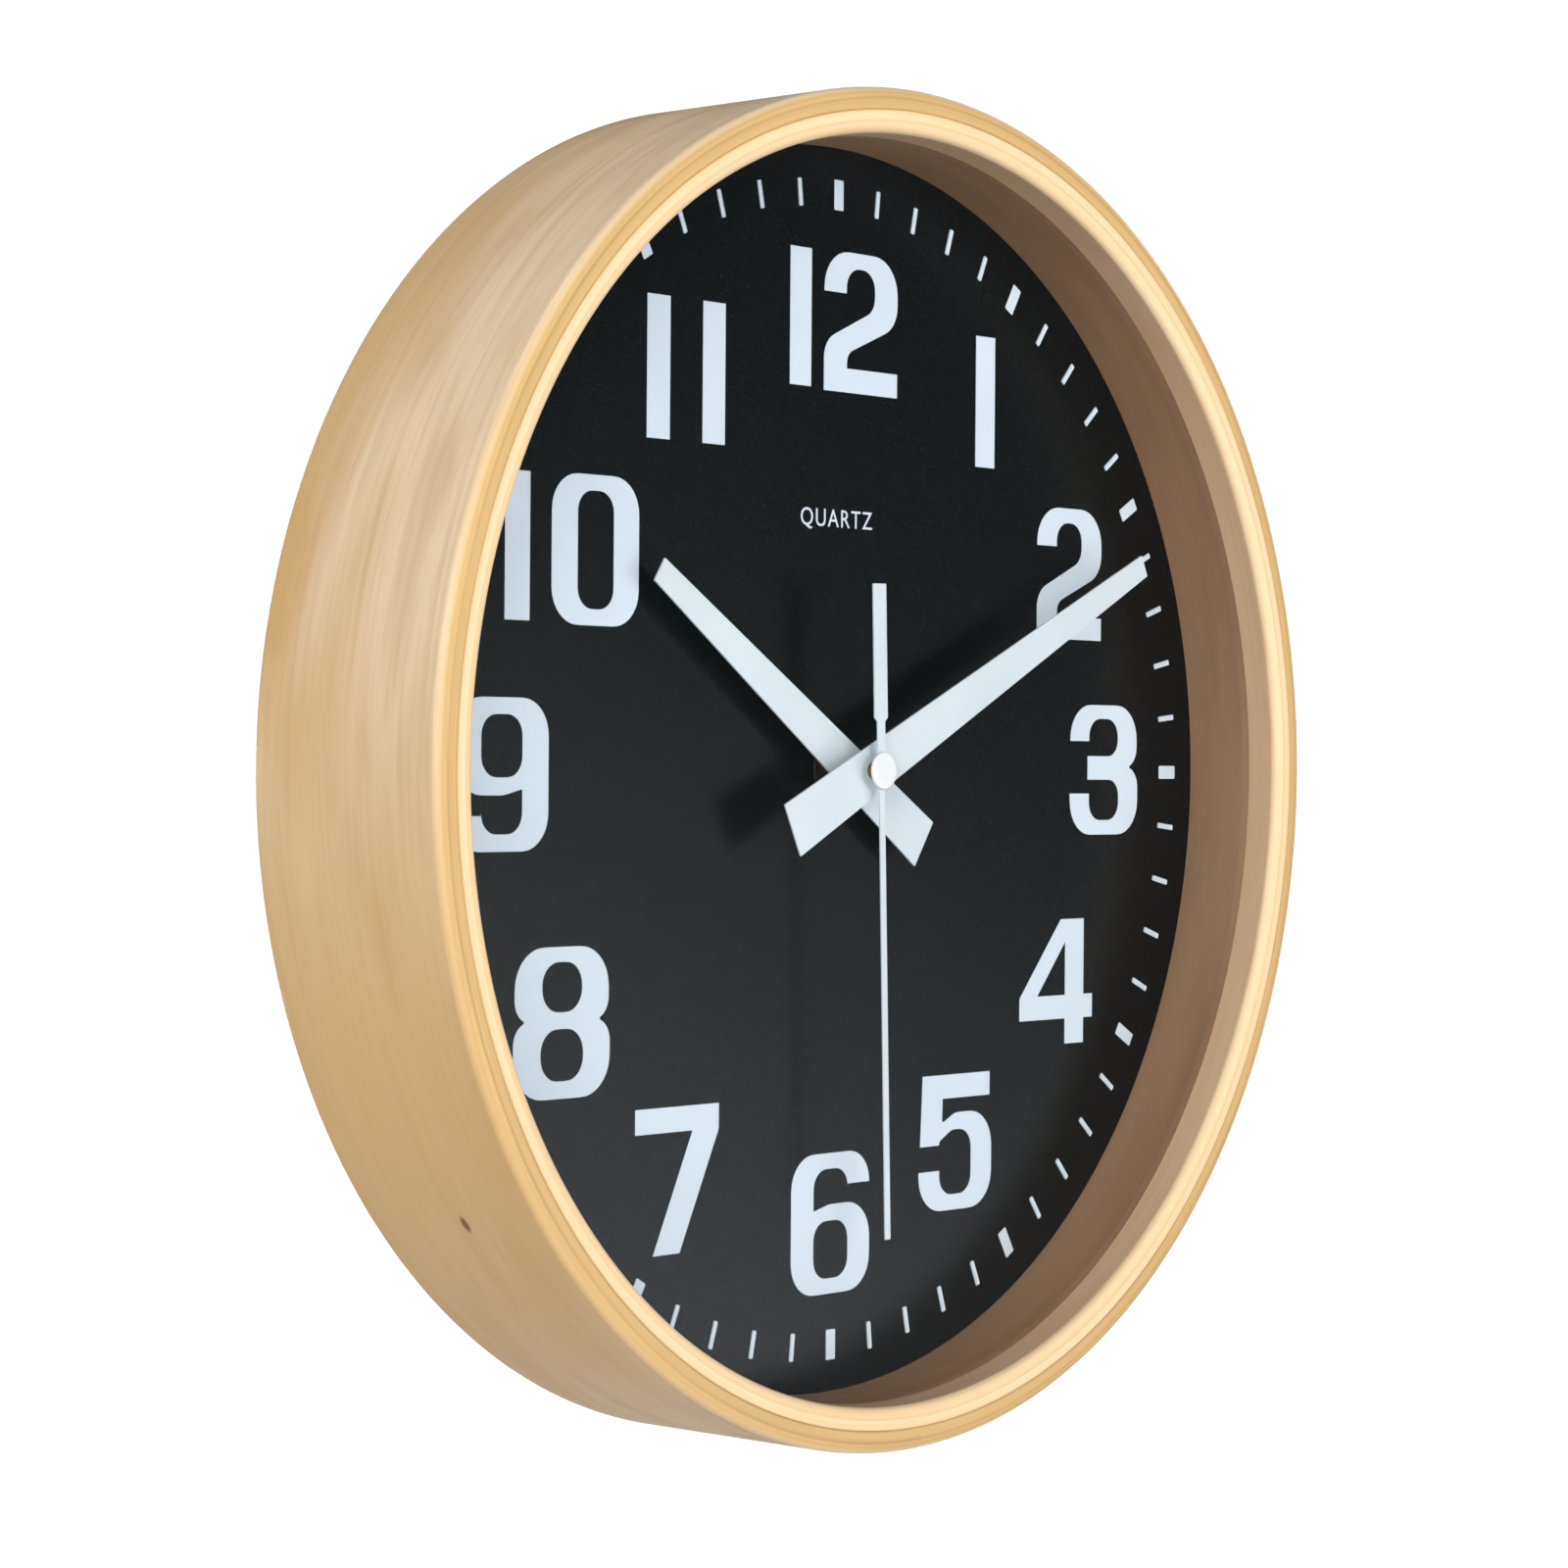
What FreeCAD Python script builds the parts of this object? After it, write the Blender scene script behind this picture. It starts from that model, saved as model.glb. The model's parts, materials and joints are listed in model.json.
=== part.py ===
"""Round bentwood wall clock with a battery quartz movement: one STEP file per piece, in millimetres.

Everything is drawn about the hand shaft, which lies along Y at x = z = 0. The wall is the plane
y = 0 and the front of the clock faces -Y. On export every piece moves by the same amount, so that
the origin is the centre of the keyhole in the hanging plate, on the plate's wall side.
Depths inside the movement are counted from its front face towards the wall.
"""
import FreeCAD, Part
import os
from math import acos, cos, pi, radians, sin, sqrt, tan

# ---- case ----
CASE_RADIUS = 150.0
CASE_DEPTH = 53.0
HOOP_WALL = 5.0
LINING_WALL = 5.0
FRONT_ROUND = 2.4
REAR_ROUND = 1.0
GLASS_RECESS = 8.8
GLASS_THICK = 2.0
HAND_ROOM = 15.7
SEAT_GAP = 0.2

# ---- dial and back panel ----
DIAL_SHEET = 0.4
DIAL_BOARD = 3.0
PANEL_THICK = 3.0
PANEL_RECESS = 4.0
PANEL_OPENING_GAP = 3.0
PANEL_SCREWS = 6
PANEL_SCREW_RADIUS = 1.2
PANEL_SCREW_LENGTH = 14.0
PANEL_SCREW_HEAD = 2.2
PANEL_SCREW_INSET = 3.0

# ---- hanging plate ----
KEYHOLE_RADIUS = 4.0
KEYHOLE_SLOT = 3.6
KEYHOLE_RISE = 8.0
KEYHOLE_INSET = 24.0
PLATE_WIDTH = 44.0
PLATE_BELOW = 9.0
PLATE_ABOVE = 14.0
PLATE_THICK = 1.2
PLATE_SCREW_SPACING = 32.0
PLATE_SCREW_RADIUS = 1.5
PLATE_SCREW_LENGTH = 9.0
PLATE_SCREW_HEAD = 2.9
POCKET_RADIUS = 6.5
POCKET_DEPTH = 7.0
BLOCK_DEPTH = 10.0
BLOCK_MARGIN = 3.0

# ---- battery and the movement's case ----
BATTERY_RADIUS = 7.25
BATTERY_LENGTH = 50.5
BATTERY_NUB_RADIUS = 2.75
BATTERY_NUB_LENGTH = 1.2
BATTERY_SLACK = 0.3
CONTACT_THICK = 0.4
CONTACT_GAP = 0.2
CONTACT_STANDOFF = 0.95
CONTACT_WIDTH = 9.4
SHELL_WALL = 1.2
SHELL_CORNER = 3.0
SHELL_SPLIT = 8.0
PARTITION_THICK = 0.8

# ---- shaft and clamping parts ----
SHAFT_GAP = 0.07
ARBOR_RADIUS = 0.55
MINUTE_PIPE_RADIUS = 1.9
HOUR_PIPE_RADIUS = 2.6
BUSHING_RADIUS = 4.0
BUSHING_PROUD = 0.6
RUBBER_THICK = 1.0
RUBBER_RADIUS = 12.0
WASHER_THICK = 0.5
WASHER_RADIUS = 7.5
WASHER_GAP = 0.1
NUT_THICK = 2.0
NUT_FLATS = 11.0

# ---- hands: tips stop short of the lining's bore by their gaps, tails are from the shaft, heights are above the dial ----
HAND_THICK = 0.5
HOUR_HEIGHT = 5.0
HOUR_TIP_GAP = 62.7
HOUR_TAIL = 30.7
HOUR_TIP_WIDTH = 5.8
HOUR_TAIL_WIDTH = 12.0
HOUR_COLLET_RADIUS = 3.6
HOUR_COLLET_LENGTH = 1.1
MINUTE_HEIGHT = 10.7
MINUTE_TIP_GAP = 24.7
MINUTE_TAIL = 30.3
MINUTE_TIP_WIDTH = 5.4
MINUTE_TAIL_WIDTH = 12.6
MINUTE_BUSH_RADIUS = 3.0
MINUTE_BUSH_LENGTH = 3.4
SECOND_HEIGHT = 13.5
SECOND_THICK = 0.35
SECOND_TIP_GAP = 35.0
SECOND_WIDTH = 1.8
SECOND_NECK = 11.3
SECOND_NECK_WIDTH = 2.6
SECOND_TAIL = 41.7
SECOND_TAIL_WIDTH = 4.5
SECOND_TUBE_RADIUS = 1.1
SECOND_TUBE_LENGTH = 1.5
CAP_RADIUS = 4.2
CAP_THICK = 1.05
CAP_ROUND = 0.5

# ---- hand positions, clockwise from twelve in degrees: ten past ten ----
MINUTE_ANGLE = 65.5
HOUR_ANGLE = 300.0 + MINUTE_ANGLE / 12
SECOND_ANGLE = 177.7

# ---- gear train: centre distances, directions from the first shaft, teeth ----
PRESSURE_ANGLE = radians(25)
ADDENDUM = 0.7
DEDENDUM = 0.95
BACKLASH = 0.05
PINION_TEETH = 12
SECONDS_TEETH = 60
INTERMEDIATE_TEETH = 72
THIRD_TEETH = 90
CENTRE_TEETH = 96
MINUTE_WHEEL_TEETH = 36
HOUR_WHEEL_TEETH = 48
KNOB_TEETH = 24
INTERMEDIATE_DISTANCE = 9.0
ROTOR_DISTANCE = 8.4
THIRD_DISTANCE = 10.2
MINUTE_WHEEL_DISTANCE = 9.6
INTERMEDIATE_DIRECTION = radians(90)
ROTOR_DIRECTION = radians(30)
THIRD_DIRECTION = radians(20)
MINUTE_WHEEL_DIRECTION = radians(180)
KNOB_DIRECTION = radians(135)
LAYER_GAP = 0.4
LAYER_THICKNESSES = {"hour": 1.2, "minute": 1.2, "centre": 1.0, "plate": 0.8,
                     "third": 0.8, "seconds": 0.8, "intermediate": 0.7, "magnet": 1.8}
WHEEL_ARBOR_RADIUS = 0.6
PIVOT_RADIUS = 0.4
STUD_RADIUS = 0.8
BOSS_RADIUS = 1.6
POST_RADIUS = 1.3
POST_PIN_RADIUS = 0.6

# ---- stepping motor, circuit board and setting knob ----
MAGNET_RADIUS = 2.5
STATOR_HOLE = 3.1
STATOR_RING = 5.0
STATOR_THICK = 0.8
STATOR_ARM = 3.6
CORE_THICK = 0.8
CORE_WIDTH = 2.8
COIL_SPAN = 24.0
COIL_Z = 22.3
BOBBIN_RADIUS = 1.9
BOBBIN_FLANGE = 3.3
FLANGE_THICK = 0.8
WINDING_RADIUS = 3.1
PCB_THICK = 0.8
PCB_LENGTH = 17.3
PCB_BOTTOM = 17.8
PCB_TOP = 25.9
KNOB_RADIUS = 7.0
KNOB_THICK = 2.4
KNOB_RECESS_GAP = 0.6
KNOB_SHAFT_RADIUS = 1.5
KNOB_NOTCHES = 18
KNOB_NOTCH_RADIUS = 0.5

# ---- worked out from the sizes above: places along Y ----
Y_FRONT = -CASE_DEPTH
Y_GLASS = Y_FRONT + GLASS_RECESS
Y_GLASS_BACK = Y_GLASS + GLASS_THICK
Y_DIAL = Y_GLASS_BACK + HAND_ROOM
Y_BOARD = Y_DIAL + DIAL_SHEET
Y_BOARD_BACK = Y_BOARD + DIAL_BOARD
Y_MOVEMENT = Y_BOARD_BACK + RUBBER_THICK
Y_PANEL_BACK = -PANEL_RECESS
Y_PANEL = Y_PANEL_BACK - PANEL_THICK
Y_PLATE_BACK = Y_PANEL_BACK + PLATE_THICK

# ---- worked out from the sizes above: radii, hand lengths, the movement's box and the keyhole ----
HOOP_INSIDE = CASE_RADIUS - HOOP_WALL
LINING_INSIDE = HOOP_INSIDE - LINING_WALL
HOUR_TIP = LINING_INSIDE - HOUR_TIP_GAP
MINUTE_TIP = LINING_INSIDE - MINUTE_TIP_GAP
SECOND_TIP = LINING_INSIDE - SECOND_TIP_GAP
KEYHOLE_Z = LINING_INSIDE - KEYHOLE_INSET
MOVEMENT_DEPTH = SHELL_WALL + 2 * BATTERY_RADIUS + BATTERY_SLACK
HALF_SIDE = BATTERY_LENGTH / 2 + CONTACT_GAP + CONTACT_THICK + CONTACT_STANDOFF + SHELL_WALL
INNER_SIDE = HALF_SIDE - SHELL_WALL
BATTERY_Z = -INNER_SIDE + BATTERY_SLACK + BATTERY_RADIUS
BATTERY_DEPTH = SHELL_WALL + BATTERY_SLACK / 2 + BATTERY_RADIUS
PARTITION_TOP = BATTERY_Z + BATTERY_RADIUS + BATTERY_SLACK + PARTITION_THICK
CONTACT_X = BATTERY_LENGTH / 2 + CONTACT_GAP


def stack_layers():
    """Front and back depth of each gear layer, one behind the other."""
    layers = {}
    depth = SHELL_WALL + LAYER_GAP
    for name, thickness in LAYER_THICKNESSES.items():
        layers[name] = (depth, depth + thickness)
        depth += thickness + LAYER_GAP
    return layers


LAYERS = stack_layers()
STATOR_DEPTH = sum(LAYERS["magnet"]) / 2 - STATOR_THICK / 2
CORE_DEPTH = STATOR_DEPTH - CORE_THICK
REAR_BOSS = LAYERS["magnet"][1] + LAYER_GAP
KNOB_FLOOR = MOVEMENT_DEPTH - KNOB_THICK - KNOB_RECESS_GAP / 2


def polar(start, distance, direction):
    """Point at a distance and direction from another; directions run from +X towards +Z."""
    return (start[0] + distance * cos(direction), start[1] + distance * sin(direction))


def module_for(distance, teeth, other_teeth):
    """Module that makes two gears fill a centre distance."""
    return 2 * distance / (teeth + other_teeth)


SECONDS_MODULE = module_for(INTERMEDIATE_DISTANCE, PINION_TEETH, SECONDS_TEETH)
ROTOR_MODULE = module_for(ROTOR_DISTANCE, PINION_TEETH, INTERMEDIATE_TEETH)
THIRD_MODULE = module_for(THIRD_DISTANCE, PINION_TEETH, THIRD_TEETH)
CENTRE_MODULE = module_for(THIRD_DISTANCE, PINION_TEETH, CENTRE_TEETH)
CANNON_MODULE = module_for(MINUTE_WHEEL_DISTANCE, PINION_TEETH, MINUTE_WHEEL_TEETH)
HOUR_MODULE = module_for(MINUTE_WHEEL_DISTANCE, PINION_TEETH, HOUR_WHEEL_TEETH)

SHAFT = (0.0, 0.0)
INTERMEDIATE = polar(SHAFT, INTERMEDIATE_DISTANCE, INTERMEDIATE_DIRECTION)
ROTOR = polar(INTERMEDIATE, ROTOR_DISTANCE, ROTOR_DIRECTION)
THIRD = polar(SHAFT, THIRD_DISTANCE, THIRD_DIRECTION)
MINUTE_WHEEL = polar(SHAFT, MINUTE_WHEEL_DISTANCE, MINUTE_WHEEL_DIRECTION)
KNOB = polar(MINUTE_WHEEL, CANNON_MODULE * (MINUTE_WHEEL_TEETH + KNOB_TEETH) / 2, KNOB_DIRECTION)
PLATE_POSTS = [(17.8, PARTITION_TOP + 2.0), (17.8, 21.5), (-10.5, 21.5), (-12.0, PARTITION_TOP + 1.6)]
BOARD_POSTS = [(-CONTACT_X + 2.0, PCB_TOP - 3.0), (-CONTACT_X + PCB_LENGTH - 2.0, PCB_TOP - 3.0)]

nodes = {}


# ---- basic solids ----
def rod(radius, y0, y1, at=SHAFT):
    """Cylinder along Y between two places on it."""
    base = FreeCAD.Vector(at[0], y0, at[1])
    return Part.makeCylinder(radius, y1 - y0, base, FreeCAD.Vector(0, 1, 0))


def ring(outer, inner, y0, y1, at=SHAFT):
    """Tube along Y."""
    return rod(outer, y0, y1, at).cut(rod(inner, y0, y1, at))


def rod_along_x(radius, x0, x1, y, z):
    """Cylinder along X."""
    return Part.makeCylinder(radius, x1 - x0, FreeCAD.Vector(x0, y, z), FreeCAD.Vector(1, 0, 0))


def box(x0, x1, y0, y1, z0, z1):
    """Box between two corners."""
    return Part.makeBox(x1 - x0, y1 - y0, z1 - z0, FreeCAD.Vector(x0, y0, z0))


def plate(points, y0, y1):
    """Flat piece between two places on Y, from its corners as (x, z) pairs."""
    corners = [FreeCAD.Vector(x, y0, z) for x, z in points]
    outline = Part.makePolygon(corners + corners[:1])
    return Part.Face(outline).extrude(FreeCAD.Vector(0, y1 - y0, 0))


def upright_slot(radius, z0, z1, y0, y1):
    """Slot with round ends that runs up the Z axis."""
    ends = rod(radius, y0, y1, (0, z0)).fuse(rod(radius, y0, y1, (0, z1)))
    return ends.fuse(box(-radius, radius, y0, y1, z0, z1)).removeSplitter()


def join(shapes):
    """One solid from touching or overlapping shapes."""
    return shapes[0].multiFuse(shapes[1:]).removeSplitter()


def turned(shape, degrees):
    """Shape turned clockwise about the shaft, as seen from the front."""
    copy = shape.copy()
    copy.rotate(FreeCAD.Vector(0, 0, 0), FreeCAD.Vector(0, 1, 0), degrees)
    return copy


def rounded_rims(shape, y, radii, amount):
    """Shape with the circular edges of the given radii at one place on Y rounded."""
    def wanted(edge):
        if not isinstance(edge.Curve, Part.Circle) or abs(edge.Curve.Center.y - y) > 1e-6:
            return False
        return any(abs(edge.Curve.Radius - radius) < 1e-6 for radius in radii)
    return shape.makeFillet(amount, [edge for edge in shape.Edges if wanted(edge)])


def at_depth(depth):
    """Place on Y of a depth inside the movement."""
    return Y_MOVEMENT + depth


def layer(name):
    """Both faces of a gear layer, as places on Y."""
    front, back = LAYERS[name]
    return at_depth(front), at_depth(back)


# ---- gears ----
def involute(angle):
    """Involute function of a pressure angle."""
    return tan(angle) - angle


def tooth_half_angle(radius, pitch_radius, teeth):
    """Half the angle that a tooth covers at a radius, with its share of the backlash."""
    base_radius = pitch_radius * cos(PRESSURE_ANGLE)
    local_angle = acos(base_radius / max(radius, base_radius))
    at_pitch = pi / (2 * teeth) - BACKLASH / (2 * pitch_radius)
    return at_pitch + involute(PRESSURE_ANGLE) - involute(local_angle)


def gear(teeth, module, y0, y1, phase=0.0, at=SHAFT):
    """Toothed disc whose first tooth points in the direction of the phase angle."""
    pitch_radius = module * teeth / 2
    tip = pitch_radius + ADDENDUM * module
    root = pitch_radius - DEDENDUM * module
    tip_half = tooth_half_angle(tip, pitch_radius, teeth)
    root_half = tooth_half_angle(root, pitch_radius, teeth)
    points = []
    for number in range(teeth):
        middle = phase + 2 * pi * number / teeth
        for radius, offset in ((root, -root_half), (tip, -tip_half), (tip, tip_half), (root, root_half)):
            points.append(polar(at, radius, middle + offset))
    return plate(points, y0, y1)


def meshed_phase(phase, teeth, direction, other_teeth):
    """Phase that puts the other gear, in this direction, in mesh with a gear of known phase."""
    tooth_fraction = (direction - phase) * teeth / (2 * pi)
    return direction + pi - 2 * pi / other_teeth * (0.5 - tooth_fraction)


def pinion(module, y0, y1, phase=0.0, at=SHAFT):
    """Small gear, a little longer than the wheel that it drives."""
    extra = LAYER_GAP / 4
    return gear(PINION_TEETH, module, y0 - extra, y1 + extra, phase, at)


# ---- case ----
def make_hoops():
    """Bentwood outer ring and the three lining rings glued inside it."""
    outer = ring(CASE_RADIUS, HOOP_INSIDE, Y_FRONT, 0)
    outer = rounded_rims(outer, Y_FRONT, [CASE_RADIUS], FRONT_ROUND)
    nodes["outer_hoop"] = rounded_rims(outer, 0, [CASE_RADIUS, HOOP_INSIDE], REAR_ROUND)
    front = ring(HOOP_INSIDE, LINING_INSIDE, Y_FRONT, Y_GLASS)
    nodes["front_hoop"] = rounded_rims(front, Y_FRONT, [LINING_INSIDE], FRONT_ROUND)
    nodes["spacer_hoop"] = ring(HOOP_INSIDE, LINING_INSIDE, Y_GLASS_BACK, Y_DIAL)
    back = ring(HOOP_INSIDE, LINING_INSIDE, Y_BOARD_BACK, Y_PANEL)
    for at in panel_screw_places():
        back = back.cut(rod(PANEL_SCREW_RADIUS, Y_PANEL_BACK - PANEL_SCREW_LENGTH, Y_PANEL, at))
    nodes["back_hoop"] = back


def make_glass_and_dial():
    """Flat glass, printed dial sheet and the board behind it."""
    seat = HOOP_INSIDE - SEAT_GAP
    hole = BUSHING_RADIUS + WASHER_GAP
    nodes["glass_lens"] = rod(seat, Y_GLASS, Y_GLASS_BACK)
    nodes["dial_face"] = ring(seat, hole, Y_DIAL, Y_BOARD)
    nodes["dial_board"] = ring(seat, hole, Y_BOARD, Y_BOARD_BACK)


def panel_screw_places():
    """Centres of the screws around the back panel's edge."""
    radius = HOOP_INSIDE - PANEL_SCREW_INSET
    return [polar(SHAFT, radius, 2 * pi * number / PANEL_SCREWS) for number in range(PANEL_SCREWS)]


def panel_screw(at):
    """Countersunk wood screw, its head flush with the panel's wall side."""
    head_depth = PANEL_SCREW_HEAD - PANEL_SCREW_RADIUS
    shank = rod(PANEL_SCREW_RADIUS, Y_PANEL_BACK - PANEL_SCREW_LENGTH, Y_PANEL_BACK, at)
    head = Part.makeCone(PANEL_SCREW_RADIUS, PANEL_SCREW_HEAD, head_depth,
                         FreeCAD.Vector(at[0], Y_PANEL_BACK - head_depth, at[1]), FreeCAD.Vector(0, 1, 0))
    return join([shank, head])


def plate_screw_places():
    """Centres of the two screws of the hanging plate."""
    return [(side * PLATE_SCREW_SPACING / 2, KEYHOLE_Z) for side in (-1, 1)]


def make_back_panel():
    """Rear panel with an opening for the movement, and its screws."""
    opening = HALF_SIDE + PANEL_OPENING_GAP
    panel = rod(HOOP_INSIDE - SEAT_GAP, Y_PANEL, Y_PANEL_BACK)
    panel = panel.cut(box(-opening, opening, Y_PANEL, Y_PANEL_BACK, -opening, opening))
    panel = panel.cut(nail_pocket(Y_PANEL, Y_PANEL_BACK))
    for at in plate_screw_places():
        panel = panel.cut(rod(PLATE_SCREW_RADIUS, Y_PANEL, Y_PANEL_BACK, at))
    screws = [panel_screw(at) for at in panel_screw_places()]
    for screw in screws:
        panel = panel.cut(screw)
    nodes["back_panel"] = panel
    nodes["back_panel_screws"] = Part.makeCompound(screws)


def nail_pocket(y0, y1):
    """Room for the head of the nail, behind the hanging plate."""
    return upright_slot(POCKET_RADIUS, KEYHOLE_Z, KEYHOLE_Z + KEYHOLE_RISE, y0, y1)


def make_hanger():
    """Keyhole plate, the wood block it is screwed to, and its screws."""
    bottom, top = KEYHOLE_Z - PLATE_BELOW, KEYHOLE_Z + PLATE_ABOVE
    half = PLATE_WIDTH / 2
    steel = box(-half, half, Y_PANEL_BACK, Y_PLATE_BACK, bottom, top)
    steel = steel.cut(rod(KEYHOLE_RADIUS, Y_PANEL_BACK, Y_PLATE_BACK, (0, KEYHOLE_Z)))
    slot_top = KEYHOLE_Z + KEYHOLE_RISE
    steel = steel.cut(upright_slot(KEYHOLE_SLOT / 2, KEYHOLE_Z, slot_top, Y_PANEL_BACK, Y_PLATE_BACK))
    wood = box(-half - BLOCK_MARGIN, half + BLOCK_MARGIN, Y_PANEL - BLOCK_DEPTH, Y_PANEL, bottom, top)
    wood = wood.cut(nail_pocket(Y_PANEL - POCKET_DEPTH, Y_PANEL))
    head_back = Y_PLATE_BACK + PLATE_SCREW_RADIUS
    screws = []
    for at in plate_screw_places():
        shank = rod(PLATE_SCREW_RADIUS, Y_PLATE_BACK - PLATE_SCREW_LENGTH, Y_PLATE_BACK, at)
        head = rod(PLATE_SCREW_HEAD, Y_PLATE_BACK, head_back, at)
        head = rounded_rims(head, head_back, [PLATE_SCREW_HEAD], PLATE_SCREW_RADIUS / 2)
        screws.append(join([shank, head]))
        steel = steel.cut(shank)
        wood = wood.cut(shank)
    nodes["hanger_plate"] = steel
    nodes["hanger_block"] = wood
    nodes["hanger_screws"] = Part.makeCompound(screws)


# ---- the movement's shells ----
def shell(depth0, depth1, open_front):
    """Square box half with rounded corners, open on one side."""
    y0, y1 = at_depth(depth0), at_depth(depth1)
    outside = box(-HALF_SIDE, HALF_SIDE, y0, y1, -HALF_SIDE, HALF_SIDE)
    corners = [edge for edge in outside.Edges if abs(edge.tangentAt(edge.FirstParameter).y) > 0.5]
    outside = outside.makeFillet(SHELL_CORNER, corners)
    if open_front:
        y1 -= SHELL_WALL
    else:
        y0 += SHELL_WALL
    return outside.cut(box(-INNER_SIDE, INNER_SIDE, y0, y1, -INNER_SIDE, INNER_SIDE))


def partition(depth0, depth1):
    """Wall between the gears and the battery."""
    return box(-CONTACT_X + SHELL_WALL, CONTACT_X - SHELL_WALL, at_depth(depth0), at_depth(depth1),
               PARTITION_TOP - PARTITION_THICK, PARTITION_TOP)


def make_front_case():
    """Front shell with the threaded bushing, bearing bosses and posts."""
    floor = at_depth(SHELL_WALL)
    plate_front, plate_back = layer("plate")
    boss_top = layer("centre")[0] - LAYER_GAP / 2
    solids = [shell(0, SHELL_SPLIT, False), partition(SHELL_WALL, SHELL_SPLIT),
              rod(BUSHING_RADIUS, bushing_end(), floor), rod(BOSS_RADIUS, floor, boss_top, THIRD),
              rod(BOSS_RADIUS, floor, layer("minute")[0] - LAYER_GAP / 2, KNOB),
              rod(STUD_RADIUS, floor, boss_top, MINUTE_WHEEL)]
    for at in PLATE_POSTS:
        solids.append(rod(POST_RADIUS, floor, plate_front, at))
        solids.append(rod(POST_PIN_RADIUS, plate_front, plate_back, at))
    case = join(solids).cut(rod(HOUR_PIPE_RADIUS + SHAFT_GAP, bushing_end(), floor))
    case = case.cut(rod(PIVOT_RADIUS + SHAFT_GAP, floor, boss_top, THIRD))
    nodes["movement_front_case"] = case.cut(rod(STUD_RADIUS + SHAFT_GAP, floor, boss_top, KNOB))


def make_back_case():
    """Rear shell: open battery bay, knob recess, rear bearings and board posts."""
    rear = at_depth(MOVEMENT_DEPTH)
    inner = rear - SHELL_WALL
    recess = KNOB_RADIUS + KNOB_RECESS_GAP
    floor = at_depth(KNOB_FLOOR)
    solids = [shell(SHELL_SPLIT, MOVEMENT_DEPTH, True), partition(SHELL_SPLIT, MOVEMENT_DEPTH - SHELL_WALL),
              rod(recess + SHELL_WALL / 2, floor - SHELL_WALL, inner, KNOB)]
    solids += [rod(BOSS_RADIUS, at_depth(REAR_BOSS), inner, at) for at in (SHAFT, THIRD, INTERMEDIATE, ROTOR)]
    solids += [rod(POST_RADIUS, at_depth(STATOR_DEPTH + PCB_THICK), inner, at) for at in BOARD_POSTS]
    case = join(solids)
    case = case.cut(rod(recess, floor, rear, KNOB))
    case = case.cut(rod(KNOB_SHAFT_RADIUS + SHAFT_GAP, floor - SHELL_WALL, floor, KNOB))
    case = case.cut(box(-CONTACT_X, CONTACT_X, inner, rear, -INNER_SIDE, PARTITION_TOP - PARTITION_THICK))
    case = case.cut(rod(ARBOR_RADIUS + SHAFT_GAP, at_depth(REAR_BOSS), inner, SHAFT))
    for at in (THIRD, INTERMEDIATE, ROTOR):
        case = case.cut(rod(PIVOT_RADIUS + SHAFT_GAP, at_depth(REAR_BOSS), inner, at))
    nodes["movement_back_case"] = case


def bushing_end():
    """Front end of the threaded bushing."""
    return Y_DIAL - WASHER_THICK - NUT_THICK - BUSHING_PROUD


def make_clamping_parts():
    """Rubber washer behind the board, flat washer and hexagon nut in front of the dial."""
    hole = BUSHING_RADIUS + WASHER_GAP
    nodes["rubber_washer"] = ring(RUBBER_RADIUS, hole, Y_BOARD_BACK, Y_MOVEMENT)
    nodes["flat_washer"] = ring(WASHER_RADIUS, hole, Y_DIAL - WASHER_THICK, Y_DIAL)
    corner = NUT_FLATS / sqrt(3)
    outline = [polar(SHAFT, corner, pi / 3 * number) for number in range(6)]
    nut_back = Y_DIAL - WASHER_THICK
    nut = plate(outline, nut_back - NUT_THICK, nut_back)
    nodes["hex_nut"] = nut.cut(rod(BUSHING_RADIUS, nut_back - NUT_THICK, nut_back))


# ---- going train ----
def arbor_with_pivots(front, back, at):
    """Arbor between two places on Y, with a thinner pivot at each end."""
    pivot = SHELL_WALL * 0.7
    return [rod(WHEEL_ARBOR_RADIUS, front, back, at), rod(PIVOT_RADIUS, front - pivot, back + pivot, at)]


def train_back():
    """Where the arbors end in front of the rear bearings."""
    return at_depth(REAR_BOSS) - LAYER_GAP / 4


def make_rotor():
    """Magnet of the stepping motor and the pinion that carries it."""
    bore = WHEEL_ARBOR_RADIUS
    phase = meshed_phase(0, INTERMEDIATE_TEETH, ROTOR_DIRECTION, PINION_TEETH)
    front = layer("plate")[1] + LAYER_GAP / 4
    solids = arbor_with_pivots(front, train_back(), ROTOR)
    solids.append(pinion(ROTOR_MODULE, *layer("intermediate"), phase, ROTOR))
    nodes["rotor_pinion"] = join(solids)
    nodes["rotor_magnet"] = ring(MAGNET_RADIUS, bore, *layer("magnet"), ROTOR)


def make_intermediate_wheel():
    """Wheel between the rotor and the seconds wheel."""
    phase = meshed_phase(0, SECONDS_TEETH, INTERMEDIATE_DIRECTION, PINION_TEETH)
    front = layer("plate")[1] + LAYER_GAP / 4
    solids = arbor_with_pivots(front, train_back(), INTERMEDIATE)
    solids.append(pinion(SECONDS_MODULE, *layer("seconds"), phase, INTERMEDIATE))
    solids.append(gear(INTERMEDIATE_TEETH, ROTOR_MODULE, *layer("intermediate"), 0, INTERMEDIATE))
    nodes["intermediate_wheel"] = join(solids)


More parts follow.
